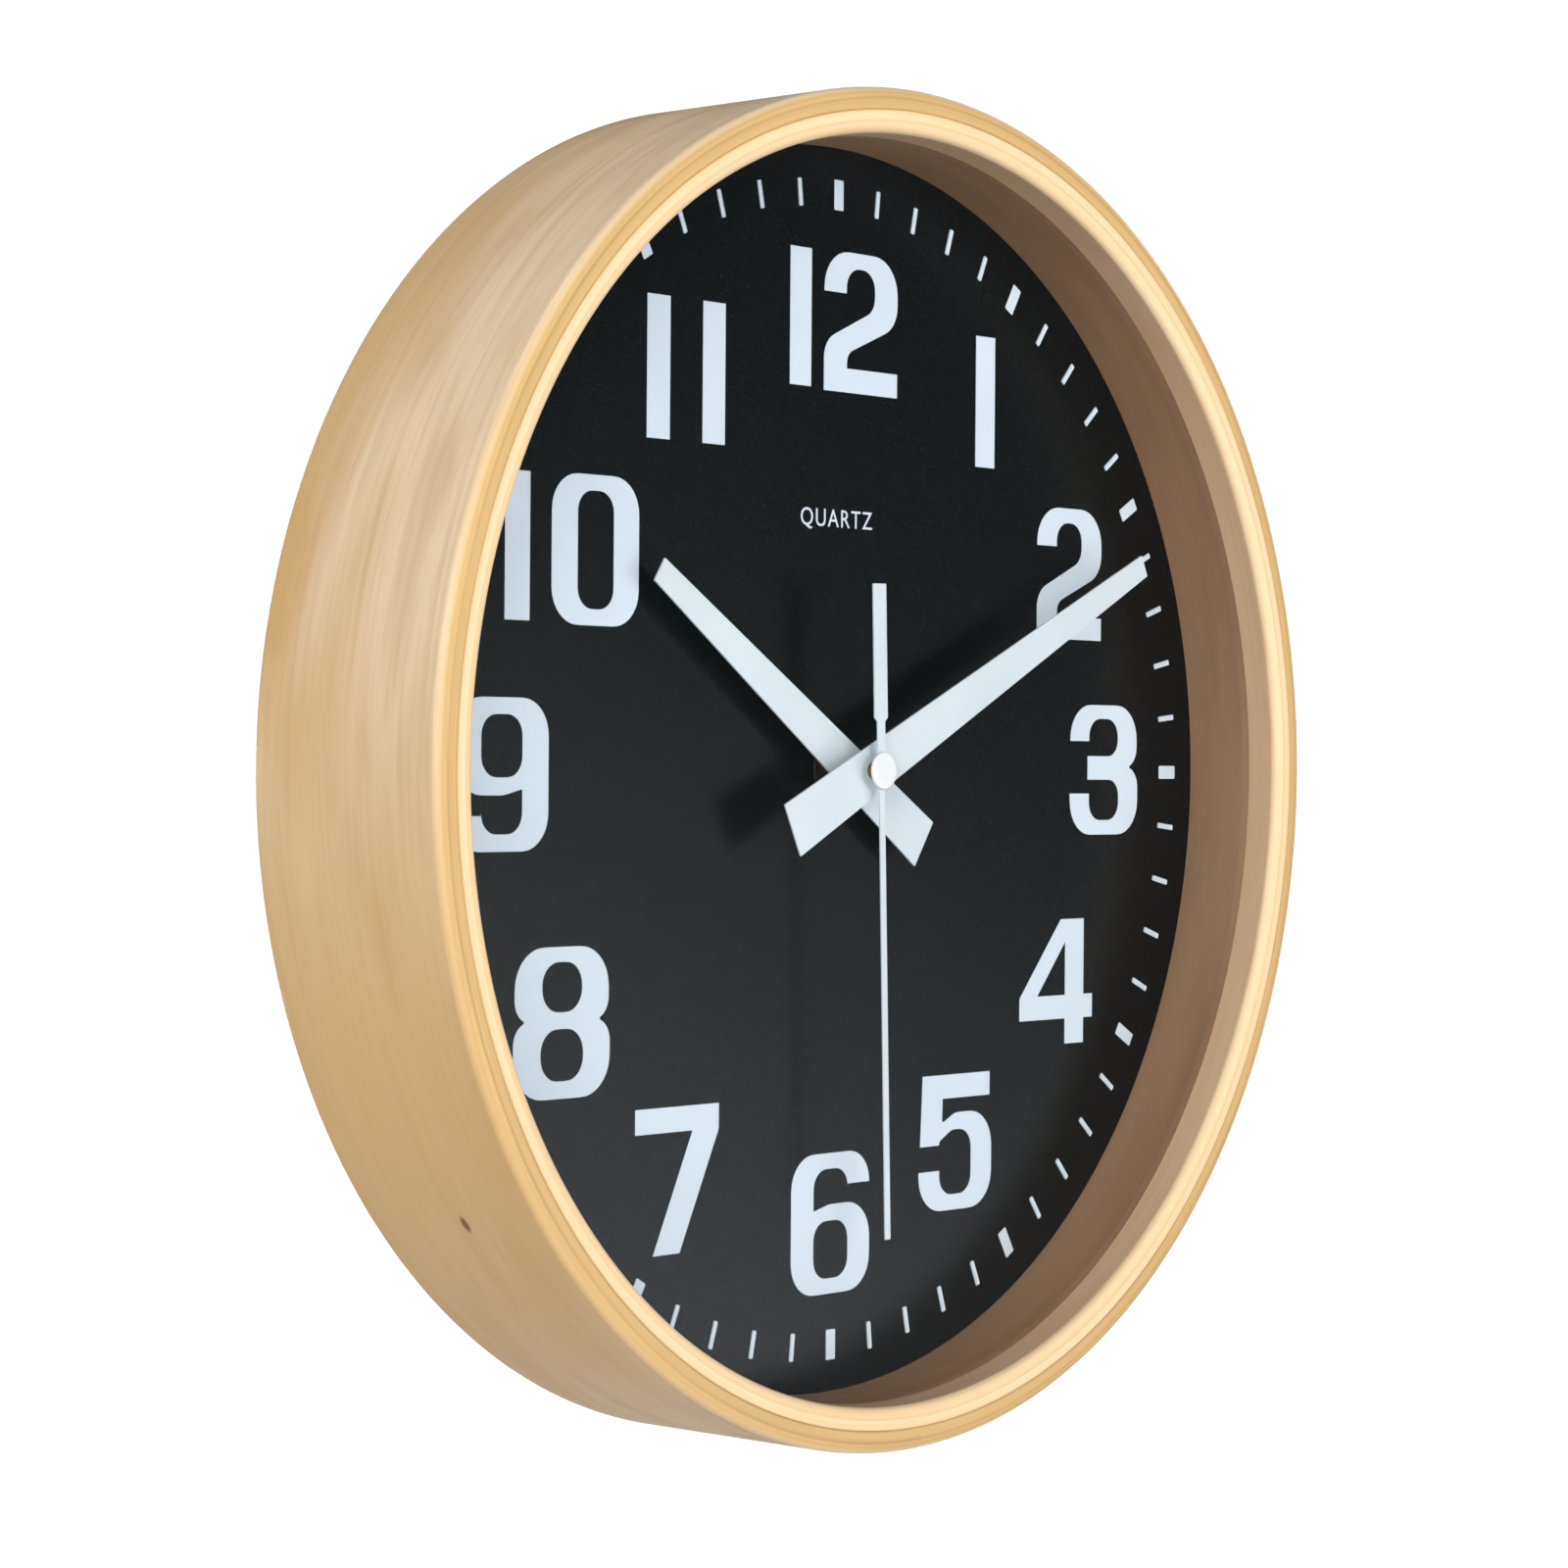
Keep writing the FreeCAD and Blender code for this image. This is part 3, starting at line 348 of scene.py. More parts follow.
# ---- material helpers ----
class Shader:
    """Small builder for one material's nodes."""

    def __init__(self, name, roughness=0.5, metallic=0.0):
        self.material = bpy.data.materials.new(name)
        self.material.use_nodes = True
        self.tree = self.material.node_tree
        self.surface = self.tree.nodes["Principled BSDF"]
        self.surface.inputs["Roughness"].default_value = roughness
        self.surface.inputs["Metallic"].default_value = metallic

    def node(self, kind, **settings):
        """Adds a node; settings are its attributes or, with an underscore for a space, its inputs."""
        node = self.tree.nodes.new(kind)
        for key, value in settings.items():
            if hasattr(node, key):
                setattr(node, key, value)
            else:
                node.inputs[key.replace("_", " ")].default_value = value
        return node

    def link(self, start, end):
        """Joins an output socket to an input socket."""
        self.tree.links.new(start, end)

    def math(self, operation, *values):
        """Math node on sockets or numbers."""
        node = self.node("ShaderNodeMath", operation=operation)
        for socket, value in zip(node.inputs, values):
            if isinstance(value, (int, float)):
                socket.default_value = value
            else:
                self.link(value, socket)
        return node.outputs[0]

    def axes(self):
        """Object coordinates as three sockets."""
        split = self.node("ShaderNodeSeparateXYZ")
        self.link(self.node("ShaderNodeTexCoord").outputs["Object"], split.inputs[0])
        return split.outputs

    def coordinates(self, scale=(1, 1, 1)):
        """Object coordinates, scaled."""
        source = self.node("ShaderNodeTexCoord").outputs["Object"]
        mapping = self.node("ShaderNodeMapping")
        mapping.inputs["Scale"].default_value = scale
        self.link(source, mapping.inputs["Vector"])
        return mapping.outputs[0]

    def noise(self, vector, scale, detail=3.0, rough=0.55, distortion=0.0):
        """Noise value between 0 and 1."""
        node = self.node("ShaderNodeTexNoise", Scale=scale, Detail=detail, Roughness=rough,
                         Distortion=distortion)
        self.link(vector, node.inputs["Vector"])
        return node.outputs[0]

    def ramp(self, value, stops, interpolation="LINEAR"):
        """Colour ramp; stops are (place, colour) pairs."""
        node = self.node("ShaderNodeValToRGB")
        ramp = node.color_ramp
        ramp.interpolation = interpolation
        while len(ramp.elements) < len(stops):
            ramp.elements.new(0.5)
        for element, (place, colour) in zip(ramp.elements, stops):
            element.position = place
            element.color = (*colour, 1)
        self.link(value, node.inputs[0])
        return node.outputs[0]

    def remap(self, value, low, high, to_low, to_high):
        """Linear remap, clamped."""
        node = self.node("ShaderNodeMapRange", clamp=True)
        for socket, number in zip(node.inputs[1:5], (low, high, to_low, to_high)):
            socket.default_value = number
        self.link(value, node.inputs[0])
        return node.outputs[0]

    def mix(self, share, first, second):
        """Mixes two colours; the share, and either colour, may be a socket or a value."""
        node = self.node("ShaderNodeMix", data_type="RGBA")
        sockets = (node.inputs["Factor"], node.inputs[6], node.inputs[7])
        for socket, value in zip(sockets, (share, first, second)):
            if isinstance(value, bpy.types.NodeSocket):
                self.link(value, socket)
            elif isinstance(value, (int, float)):
                socket.default_value = value
            else:
                socket.default_value = (*value, 1)
        return node.outputs[2]

    def bump(self, height, strength, distance):
        """Bump from a height socket."""
        node = self.node("ShaderNodeBump", Strength=strength, Distance=distance)
        self.link(height, node.inputs["Height"])
        self.link(node.outputs[0], self.surface.inputs["Normal"])

    def colour(self, socket):
        """Drives the base colour."""
        self.link(socket, self.surface.inputs["Base Color"])

    def roughness(self, socket):
        """Drives the roughness."""
        self.link(socket, self.surface.inputs["Roughness"])


def around_shaft(shader):
    """Angle about the shaft, distance from it and place along Y, as sockets."""
    along_x, along_y, along_z = shader.axes()
    x = shader.math("SUBTRACT", along_x, SHAFT_X)
    z = shader.math("SUBTRACT", along_z, SHAFT_Z)
    angle = shader.math("ARCTAN2", x, z)
    squares = shader.math("ADD", shader.math("MULTIPLY", x, x), shader.math("MULTIPLY", z, z))
    return angle, shader.math("SQRT", squares), along_y


def grain(shader, places, around, across, *look):
    """Noise stretched around the hoop: its scales are per metre of arc and per metre across."""
    angle, radius, along = places
    vector = shader.node("ShaderNodeCombineXYZ")
    shader.link(shader.math("MULTIPLY", angle, around * CASE_RADIUS), vector.inputs[0])
    shader.link(shader.math("MULTIPLY", along, across), vector.inputs[1])
    shader.link(shader.math("MULTIPLY", radius, across), vector.inputs[2])
    return shader.noise(vector.outputs[0], 1.0, *look)


LOWER_SHADE_ANGLE = radians(-122)    # where around the case the painted shade is deepest: the lower left, turned away from the light


def bent_wood():
    """Pale veneer whose grain runs around the hoop, with plies and glue lines on its edges, and painted shade
    on its lower left and inside the bore.
    """
    case = bpy.context.scene.clock_case
    light, dark, amber_and_shade = (tuple(c) for c in (case.light_wood, case.dark_wood, case.amber_and_shade))
    wood = Shader("bent_wood")
    places = angle, radius, along = around_shaft(wood)
    arc = wood.math("MULTIPLY", angle, CASE_RADIUS)
    clouds = grain(wood, places, 16.0, 90.0, 4.0, 0.55, 0.5)
    streaks = grain(wood, places, 14.0, 520.0, 4.0, 0.62, 0.3)
    patches = grain(wood, places, 8.0, 30.0, 2.0, 0.5, 0.8)
    fine = grain(wood, places, 110.0, 2600.0, 2.0, 0.6)
    pale = tuple(min(1, 1.12 * c) for c in light)
    tone = wood.ramp(clouds, [(0.24, dark), (0.48, light), (0.74, pale)])
    tone = wood.mix(wood.remap(streaks, 0.46, 0.70, 0.0, 0.62), tone, dark)
    # Painted shade: the wood darkens towards amber around the lower left of the case, the side turned away
    # from the light.
    lower = wood.math("COSINE", wood.math("SUBTRACT", angle, LOWER_SHADE_ANGLE))
    tone = wood.mix(wood.remap(lower, 0.72, 1.0, 0.0, 0.75), tone, amber_and_shade)
    tone = wood.mix(wood.remap(fine, 0.5, 0.75, 0.0, 0.2), tone, dark)
    rear = wood.remap(along, FRONT_Y + 0.018, WALL_Y, 0.22, 1.0)
    tone = wood.mix(wood.math("MULTIPLY", rear, wood.remap(patches, 0.48, 0.62, 0.0, 0.85)), tone, amber_and_shade)
    tone = wood.mix(knot_mask(wood, arc, along), tone, (0.12, 0.05, 0.02))
    # Painted shade: the inner face of the front lining, the bore, is darkened as if it lay in shade.
    inside = LINING_OUTSIDE - case.lining_wall
    bore_shade = wood.math("MULTIPLY", wood.remap(radius, inside + 0.1 * MM, inside + 0.6 * MM, 1, 0),
                     wood.remap(along, FRONT_Y + 1.5 * MM, FRONT_Y + 2.6 * MM, 0.0, 0.75))
    tone = wood.mix(bore_shade, tone, (0.42, 0.27, 0.155))
    wood.colour(edge_plies(wood, tone, radius, along, streaks))
    wood.roughness(wood.remap(fine, 0.3, 0.7, 0.46, 0.6))
    wood.surface.inputs["Specular IOR Level"].default_value = 0.35
    wood.bump(fine, 0.12, 0.2 * MM)
    return wood.material


def shaded_wood():
    """Lining behind the glass, in the case's wood darkened as painted shade for the recess."""
    shade = tuple(bpy.context.scene.clock_case.shade)
    wood = Shader("shaded_wood", 0.6)
    places = around_shaft(wood)
    clouds = grain(wood, places, 12.0, 90.0, 3.0, 0.5, 0.4)
    fine = grain(wood, places, 100.0, 2400.0, 2.0, 0.6)
    tone = wood.ramp(clouds, [(0.3, tuple(0.84 * c for c in shade)), (0.7, tuple(1.12 * c for c in shade))])
    wood.colour(wood.mix(wood.remap(fine, 0.5, 0.8, 0.0, 0.3), tone, tuple(0.6 * c for c in shade)))
    wood.roughness(wood.remap(fine, 0.3, 0.7, 0.55, 0.7))
    wood.bump(fine, 0.12, 0.2 * MM)
    return wood.material


KNOT_ANGLE = radians(-128)
KNOT_Y = FRONT_Y + 24 * MM
KNOT_LONG, KNOT_SHORT = 2.2 * MM, 1.0 * MM


def knot_mask(wood, arc, along):
    """1 in the small dark pin knot on the side of the case."""
    across = wood.math("DIVIDE", wood.math("SUBTRACT", arc, KNOT_ANGLE * CASE_RADIUS), KNOT_LONG)
    down = wood.math("DIVIDE", wood.math("SUBTRACT", along, KNOT_Y), KNOT_SHORT)
    squares = wood.math("ADD", wood.math("MULTIPLY", across, across), wood.math("MULTIPLY", down, down))
    return wood.remap(squares, 0.3, 1.4, 0.85, 0.0)


def edge_plies(wood, tone, radius, along, streaks):
    """Layers of wood seen on the rim's front and rear edges, with the glue line between the rings."""
    case = bpy.context.scene.clock_case
    inside = LINING_OUTSIDE - case.lining_wall
    across = wood.math("MULTIPLY", wood.remap(radius, inside + 0.05 * MM, inside + 0.4 * MM, 0, 1),
                       wood.remap(radius, CASE_RADIUS - 1.3 * MM, CASE_RADIUS - 0.05 * MM, 1, 0))
    wobble = wood.math("MULTIPLY", wood.math("SUBTRACT", streaks, 0.5), 0.5 * MM)
    place = wood.math("FRACT", wood.math("DIVIDE", wood.math("ADD", radius, wobble), case.ply))
    inner, outer = (wood.ramp(place, [(0.0, edge), (0.2, pale), (0.8, deep), (1.0, edge)])
                    for edge, pale, deep in (((0.61, 0.42, 0.225), (0.72, 0.53, 0.325), (0.69, 0.50, 0.30)),
                                             ((0.38, 0.23, 0.085), (0.49, 0.32, 0.135), (0.47, 0.30, 0.125))))
    joint = 0.1 * MM
    rings = wood.mix(wood.remap(radius, LINING_OUTSIDE - joint, LINING_OUTSIDE + joint, 0, 1), inner, outer)
    glue = wood.math("ABSOLUTE", wood.math("SUBTRACT", radius, LINING_OUTSIDE))
    rings = wood.mix(wood.remap(glue, 0.1 * MM, 0.5 * MM, 0.5, 0.0), rings, (0.42, 0.26, 0.10))
    rings = wood.mix(wood.remap(streaks, 0.42, 0.7, 0.0, 0.35), rings, (0.66, 0.41, 0.17))
    return wood.mix(across, tone, rings)


def painted(name, colour, roughness, grain=900.0, depth=0.02 * MM, coat=0.0, metallic=0.0, spread=0.06):
    """Even finish with slight changes of tone and gloss and a fine texture."""
    paint = Shader(name, roughness, metallic)
    vector = paint.coordinates()
    soft = paint.noise(vector, 40.0, 2.0)
    fine = paint.noise(vector, grain, 2.0)
    low = tuple(c * (1 - spread) for c in colour)
    high = tuple(min(1.0, c * (1 + spread)) for c in colour)
    paint.colour(paint.ramp(soft, [(0.35, low), (0.65, high)]))
    paint.roughness(paint.remap(fine, 0.3, 0.7, roughness - 0.04, roughness + 0.05))
    paint.bump(fine, 0.25, depth)
    paint.surface.inputs["Coat Weight"].default_value = coat
    return paint.material


def brushed(name, colour, roughness, direction):
    """Metal with fine lines along one axis."""
    metal = Shader(name, roughness, 1.0)
    vector = metal.coordinates(direction)
    lines = metal.noise(vector, 1.0, 3.0, 0.7)
    low = tuple(c * 0.82 for c in colour)
    metal.colour(metal.ramp(lines, [(0.3, low), (0.7, colour)]))
    metal.roughness(metal.remap(lines, 0.3, 0.7, roughness - 0.08, roughness + 0.1))
    metal.bump(lines, 0.2, 0.02 * MM)
    return metal.material


def turned_metal(name, colour, roughness):
    """Metal with fine rings about the shaft, as from a lathe."""
    metal = Shader(name, roughness, 1.0)
    _, radius, along = around_shaft(metal)
    rings = metal.node("ShaderNodeCombineXYZ")
    metal.link(metal.math("MULTIPLY", radius, 5000.0), rings.inputs[0])
    metal.link(metal.math("MULTIPLY", along, 3000.0), rings.inputs[1])
    lines = metal.noise(rings.outputs[0], 1.0, 2.0)
    low = tuple(c * 0.8 for c in colour)
    metal.colour(metal.ramp(lines, [(0.35, low), (0.65, colour)]))
    metal.roughness(metal.remap(lines, 0.3, 0.7, roughness - 0.06, roughness + 0.08))
    metal.bump(lines, 0.2, 0.02 * MM)
    return metal.material


def pressed_board():
    """Brown fibreboard with pale and dark fibres."""
    board = Shader("pressed_board", 0.8)
    vector = board.coordinates()
    fibres = board.noise(vector, 900.0, 4.0, 0.7, 1.5)
    clouds = board.noise(vector, 25.0, 3.0)
    tone = board.ramp(fibres, [(0.3, (0.16, 0.09, 0.045)), (0.5, (0.27, 0.165, 0.085)),
                               (0.72, (0.40, 0.27, 0.15))])
    board.colour(board.mix(board.remap(clouds, 0.35, 0.7, 0.0, 0.3), tone, (0.20, 0.115, 0.055)))
    board.bump(fibres, 0.4, 0.08 * MM)
    return board.material


def dial_black():
    """Satin black print with a very fine grain."""
    dial = bpy.context.scene.clock_dial
    ground = tuple(dial.ground)
    black = Shader("dial_black", 0.32)
    vector = black.coordinates()
    fine = black.noise(vector, 2600.0, 2.0)
    soft = black.noise(vector, 12.0, 2.0)
    low, high = (tuple(c * share for c in ground) for share in (0.85, 1.2))
    black.colour(black.ramp(soft, [(0.3, low), (0.7, high)]))
    black.roughness(black.remap(fine, 0.3, 0.7, 0.23, 0.28))
    black.surface.inputs["Specular IOR Level"].default_value = 0.15
    black.bump(fine, 0.18, 0.02 * MM)
    return black.material


def clear_glass():
    """Thin clear pane with a faint film; its low alpha leaves its reflections faint as well."""
    glass = Shader("clear_glass", 0.02)
    film = glass.noise(glass.coordinates(), 30.0, 3.0)
    glass.roughness(glass.remap(film, 0.35, 0.7, 0.02, 0.05))
    surface = glass.surface.inputs
    surface["Base Color"].default_value = (0.02, 0.03, 0.03, 1)
    surface["IOR"].default_value = 1.5
    surface["Specular IOR Level"].default_value = 0.3
    surface["Alpha"].default_value = 0.06
    return glass.material


def coat(node, material):
    """Gives a CAD node a better material."""
    for slot in frame["nodes"][node].material_slots:
        slot.material = material


def battery_sleeve(x0, x1):
    """Printed sleeve with a metal end and a pale band, along X."""
    sleeve = Shader("battery_sleeve", 0.3)
    place = sleeve.remap(sleeve.axes()[0], x0, x1, 0.0, 1.0)
    bands = sleeve.ramp(place, [(0.0, (0.55, 0.55, 0.54)), (0.02, (0.03, 0.05, 0.09)),
                                (0.62, (0.70, 0.62, 0.30)), (0.65, (0.42, 0.07, 0.05)),
                                (0.955, (0.62, 0.62, 0.60))], "CONSTANT")
    scuffs = sleeve.noise(sleeve.coordinates(), 500.0, 3.0)
    sleeve.colour(sleeve.mix(sleeve.remap(scuffs, 0.5, 0.8, 0.0, 0.2), bands, (0.5, 0.5, 0.5)))
    sleeve.roughness(sleeve.remap(scuffs, 0.3, 0.7, 0.22, 0.4))
    sleeve.surface.inputs["Coat Weight"].default_value = 0.3
    return sleeve.material


def wound_wire():
    """Enamelled copper wire wound side by side."""
    wire = Shader("wound_copper", 0.3, 0.9)
    turns = wire.math("PINGPONG", wire.math("MULTIPLY", wire.axes()[0], 8000.0), 1.0)
    wire.colour(wire.ramp(turns, [(0.0, (0.20, 0.055, 0.015)), (0.6, (0.62, 0.21, 0.07))]))
    wire.bump(turns, 0.6, 0.05 * MM)
    return wire.material


def printed_circuit():
    """Green lacquered board with fibre showing through."""
    board = Shader("circuit_lacquer", 0.3)
    weave = board.noise(board.coordinates(), 1800.0, 2.0)
    board.colour(board.ramp(weave, [(0.35, (0.010, 0.075, 0.025)), (0.7, (0.025, 0.15, 0.05))]))
    board.roughness(board.remap(weave, 0.3, 0.7, 0.24, 0.38))
    board.surface.inputs["Coat Weight"].default_value = 0.4
    return board.material


def plain_sawn(name, low, high):
    """Softwood with straight grain along X."""
    wood = Shader(name, 0.6)
    grain = wood.noise(wood.coordinates((22.0, 260.0, 260.0)), 1.0, 4.0, 0.6, 0.8)
    fine = wood.noise(wood.coordinates((120.0, 2600.0, 2600.0)), 1.0, 2.0)
    tone = wood.ramp(grain, [(0.32, low), (0.62, high)])
    wood.colour(wood.mix(wood.remap(fine, 0.5, 0.75, 0.0, 0.25), tone, low))
    wood.roughness(wood.remap(fine, 0.3, 0.7, 0.55, 0.68))
    wood.bump(fine, 0.25, 0.1 * MM)
    return wood.material


# ---- case ----
def spun_hoop(name, outside, inside, y0, y1, corners):
    """Ring made by spinning its section about the shaft; corners are ((side, end), radius) pairs."""
    clear_selection()
    bpy.ops.mesh.primitive_plane_add(size=1, location=(SHAFT_X + (outside + inside) / 2, (y0 + y1) / 2,
                                                       SHAFT_Z))
    hoop = new_piece(name)
    hoop.scale = (outside - inside, y1 - y0, 1)
    bake_place(hoop)
    middle_x, middle_y = SHAFT_X + (outside + inside) / 2, (y0 + y1) / 2
    for (side, end), amount in corners:
        corner_x = SHAFT_X + (outside if side > 0 else inside)
        corner_y = y1 if end > 0 else y0
        pick(hoop, "VERT", "vertices", lambda v: hypot(v.co.x - corner_x, v.co.y - corner_y) < TOUCH)
        bpy.ops.mesh.bevel(offset=amount, segments=6, affect="VERTICES")
    bpy.ops.mesh.select_mode(type="FACE")
    bpy.ops.mesh.select_all(action="SELECT")
    bpy.ops.mesh.delete(type="ONLY_FACE")
    bpy.ops.mesh.select_mode(type="EDGE")
    bpy.ops.mesh.select_all(action="SELECT")
    steps = bpy.context.scene.clock_case.steps
    bpy.ops.mesh.spin(steps=steps, angle=2 * pi, center=(SHAFT_X, middle_y, SHAFT_Z), axis=(0, 1, 0))
    mend_normals(hoop)
    even_shading(hoop)
    return hoop


class CLOCK_OT_hoops(bpy.types.Operator):
    """Models the outer bentwood ring and its three lining rings"""
    bl_idname = "clock.hoops"
    bl_label = "Bentwood rings"

    def execute(self, context):
        case = context.scene.clock_case
        wood = bent_wood()
        inside = LINING_OUTSIDE - case.lining_wall
        front, rear, joint = case.front_round, case.rear_round, case.joint_round
        outer = spun_hoop("outer_ring", CASE_RADIUS, LINING_OUTSIDE, FRONT_Y, WALL_Y,
                          [((1, -1), front), ((-1, -1), joint), ((1, 1), rear), ((-1, 1), rear)])
        finish_piece(outer, "case", wood, "outer_hoop", slot="bent_wood")
        lining_front, glass_seat = span_y("front_hoop")
        lining = spun_hoop("front_lining", LINING_OUTSIDE, inside, lining_front, glass_seat,
                           [((-1, -1), front), ((1, -1), joint), ((-1, 1), joint / 4)])
        finish_piece(lining, "case", wood, "front_hoop", slot="bent_wood")
        spacer = spun_hoop("middle_lining", LINING_OUTSIDE, inside, glass_seat, span_y("spacer_hoop")[1],
                           [((-1, -1), joint / 4), ((-1, 1), joint / 4)])
        finish_piece(spacer, "case", shaded_wood(), "spacer_hoop", slot="bent_wood")
        stand_in("rear_lining", "back_hoop", "case", wood, joint, "bent_wood")
        return {"FINISHED"}


class CLOCK_OT_glass(bpy.types.Operator):
    """Models the flat round glass with rounded edges"""
    bl_idname = "clock.glass"
    bl_label = "Glass"

    def execute(self, context):
        y0, y1 = span_y("glass_lens")
        pane = add_rod("glass_pane", GLASS_RADIUS, y0, y1, vertices=context.scene.clock_case.steps)
        soften(pane, 0.4 * MM, 2)
        finish_piece(pane, "case", clear_glass(), "glass_lens", slot="clear_glass")
        return {"FINISHED"}


# ---- dial print: numerals are drawn in millimetres about their own centre ----
CAP = 15.85
ROUND = 7.8
COUNTER = 4.4

NUMERALS = {
    "0": [[(-13.3, -CAP, ROUND), (13.3, -CAP, ROUND), (13.3, CAP, ROUND), (-13.3, CAP, ROUND)],
          [(-5.5, -12.4, COUNTER), (5.5, -12.4, COUNTER), (5.5, 12.5, COUNTER), (-5.5, 12.5, COUNTER)]],
    "1": [[(-3.65, -15.4, 0), (3.65, -15.4, 0), (3.65, 15.4, 0), (-3.65, 15.4, 0)]],
    "2": [[(-13, -CAP, 0), (13, -CAP, 0), (13, -10.4, 0), (-5, -10.4, 0), (-4.9, -7.0, 3.2), (13, 0.4, 7.0),
           (13, CAP, 8.5), (-13, CAP, 8.5), (-13, 6.5, 0), (-5.2, 6.5, 0), (-5.2, 12.3, COUNTER),
           (4.9, 12.3, COUNTER), (4.9, 3.4, 4.5), (-13, -4.6, 6.0)]],
    "3": [[(-13.9, 7.0, 0), (-6.2, 7.0, 0), (-6.2, 12.5, COUNTER), (5.7, 12.5, COUNTER), (5.7, 3.35, 4.0),
           (-6.8, 3.35, 0), (-6.8, -2.4, 0), (6, -2.4, 4.0), (6, -12.3, COUNTER), (-6.2, -12.3, COUNTER),
           (-6.2, -5.8, 0), (-14, -5.8, 0), (-14, -CAP, 8.3), (14, -CAP, 8.3), (14, -0.7, 5.0),
           (10.0, 0.75, 0.3),
           (13.6, 2.2, 5.0), (13.6, CAP, 8.3), (-13.9, CAP, 8.3)]],
    "4": [[(-14.6, -9.0, 0), (3.5, -9.0, 0), (3.5, -15.1, 0), (11.0, -15.1, 0), (11.0, -9.0, 0),
           (14.6, -9.0, 0),
           (14.6, -3.3, 0), (11.0, -3.3, 0), (11.0, 15.1, 0), (1.7, 15.1, 0), (-14.6, -3.6, 0)],
          [(3.5, -3.3, 0), (-7.6, -3.3, 0), (3.5, 9.6, 0)]],
    "5": [[(-12.4, CAP, 0), (12.9, CAP, 0), (12.9, 10.3, 0), (-4.9, 10.3, 0), (-5.1, 4.6, 0.4), (0, 6.9, 5.0),
           (13.7, 6.9, 8.3), (13.7, -CAP, 8.3), (-13.7, -CAP, 8.3), (-13.7, -6.4, 0), (-6, -6.4, 0),
           (-6, -12.2, COUNTER), (5.9, -12.2, COUNTER), (5.9, 2.9, 4.5), (-1.5, 2.9, 4.0), (-6, 0.4, 0.5),
           (-6.1, -0.5, 0), (-13.2, -0.5, 0)]],
    "6": [[(-13.7, -CAP, ROUND), (13.7, -CAP, ROUND), (13.7, 4.3, 8.0), (-0.4, 4.3, 8.0), (-6.0, 3.0, 0),
           (-6.0, 12.3, COUNTER), (6.0, 12.3, COUNTER), (6.0, 8.5, 0), (13.6, 8.5, 0), (13.6, CAP, 7.2),
           (-13.7, CAP, ROUND)],
          [(-6, -12.4, COUNTER), (6, -12.4, COUNTER), (6, 0.6, COUNTER), (-6, 0.6, COUNTER)]],
    "7": [[(-13.4, CAP, 0), (13.4, CAP, 0), (13.4, 10.2, 1.5), (0.9, -CAP, 0), (-7.6, -CAP, 0),
           (4.9, 10.4, 0),
           (-13.4, 10.4, 0)]],
    "8": [[(-14.5, -CAP, 8.6), (14.5, -CAP, 8.6), (14.5, -1.1, 4.8), (10.9, 0.45, 0.3), (14.1, 2.0, 4.8),
           (14.1, CAP, 8.6), (-14.1, CAP, 8.6), (-14.1, 2.0, 4.8), (-10.9, 0.45, 0.3), (-14.5, -1.1, 4.8)],
          [(-6.4, -12.2, 5.0), (6.4, -12.2, 5.0), (6.4, -1.3, 5.0), (-6.4, -1.3, 5.0)],
          [(-6, 2.2, 4.9), (6, 2.2, 4.9), (6, 12.7, 4.9), (-6, 12.7, 4.9)]],
}
NUMERALS["9"] = [[(-x, -y, r) for x, y, r in loop] for loop in NUMERALS["6"]]

# hour: (characters with their offsets from the numeral's middle, the middle's place from the shaft),
# in millimetres
HOURS = {
    1: ([("1", 0)], (54.3, 87.0)), 2: ([("2", 0)], (88.1, 47.9)), 3: ([("3", 0)], (102.9, 0.5)),
    4: ([("4", 0)], (84.0, -50.8)), 5: ([("5", 0)], (45.0, -86.8)), 6: ([("6", 0)], (-0.3, -102.1)),
    7: ([("7", 0)], (-51.9, -88.5)), 8: ([("8", 0)], (-87.9, -53.0)), 9: ([("9", 0)], (-106.2, -1.3)),
    10: ([("1", -16.2), ("0", 7.2)], (-85.9, 45.9)), 11: ([("1", -8.9), ("1", 8.9)], (-50.7, 86.1)),
    12: ([("1", -15.0), ("2", 6.1)], (2.1, 101.2)),
}


def rounded_outline(corners, steps=7):
    """Closed outline through corners, each rounded by its own radius."""
    points = []
    for index, (x, y, radius) in enumerate(corners):
        corner = Vector((x, y))
        before = (Vector(corners[index - 1][:2]) - corner)
        after = (Vector(corners[(index + 1) % len(corners)][:2]) - corner)
        if radius <= 0:
            points.append(corner)
            continue
        before.normalize()
        after.normalize()
        half = before.angle(after) / 2
        reach = radius / max(1e-6, abs(sin(half) / cos(half)))
        centre = corner + (before + after).normalized() * (radius / sin(half))
        start, end = corner + before * reach - centre, corner + after * reach - centre
        first = atan2(start.y, start.x)
        sweep = (atan2(end.y, end.x) - first + pi) % (2 * pi) - pi
        for step in range(steps + 1):
            angle = first + sweep * step / steps
            points.append(centre + Vector((cos(angle), sin(angle))) * radius)
    return points


def printed_shape(name, loops, x, z):
    """Thin raised print from outlines, at a place on the dial given in metres."""
    ink = bpy.context.scene.clock_dial.ink
    curve = bpy.data.curves.new(name, "CURVE")
    curve.dimensions, curve.fill_mode, curve.extrude = "2D", "BOTH", ink / 2
    for loop in loops:
        points = rounded_outline(loop)
        spline = curve.splines.new("POLY")
        spline.points.add(len(points) - 1)
        for target, point in zip(spline.points, points):
            target.co = (point.x * MM, point.y * MM, 0, 1)
        spline.use_cyclic_u = True
    obj = bpy.data.objects.new(name, curve)
    bpy.context.scene.collection.objects.link(obj)
    return stand_on_dial(obj, x, z)


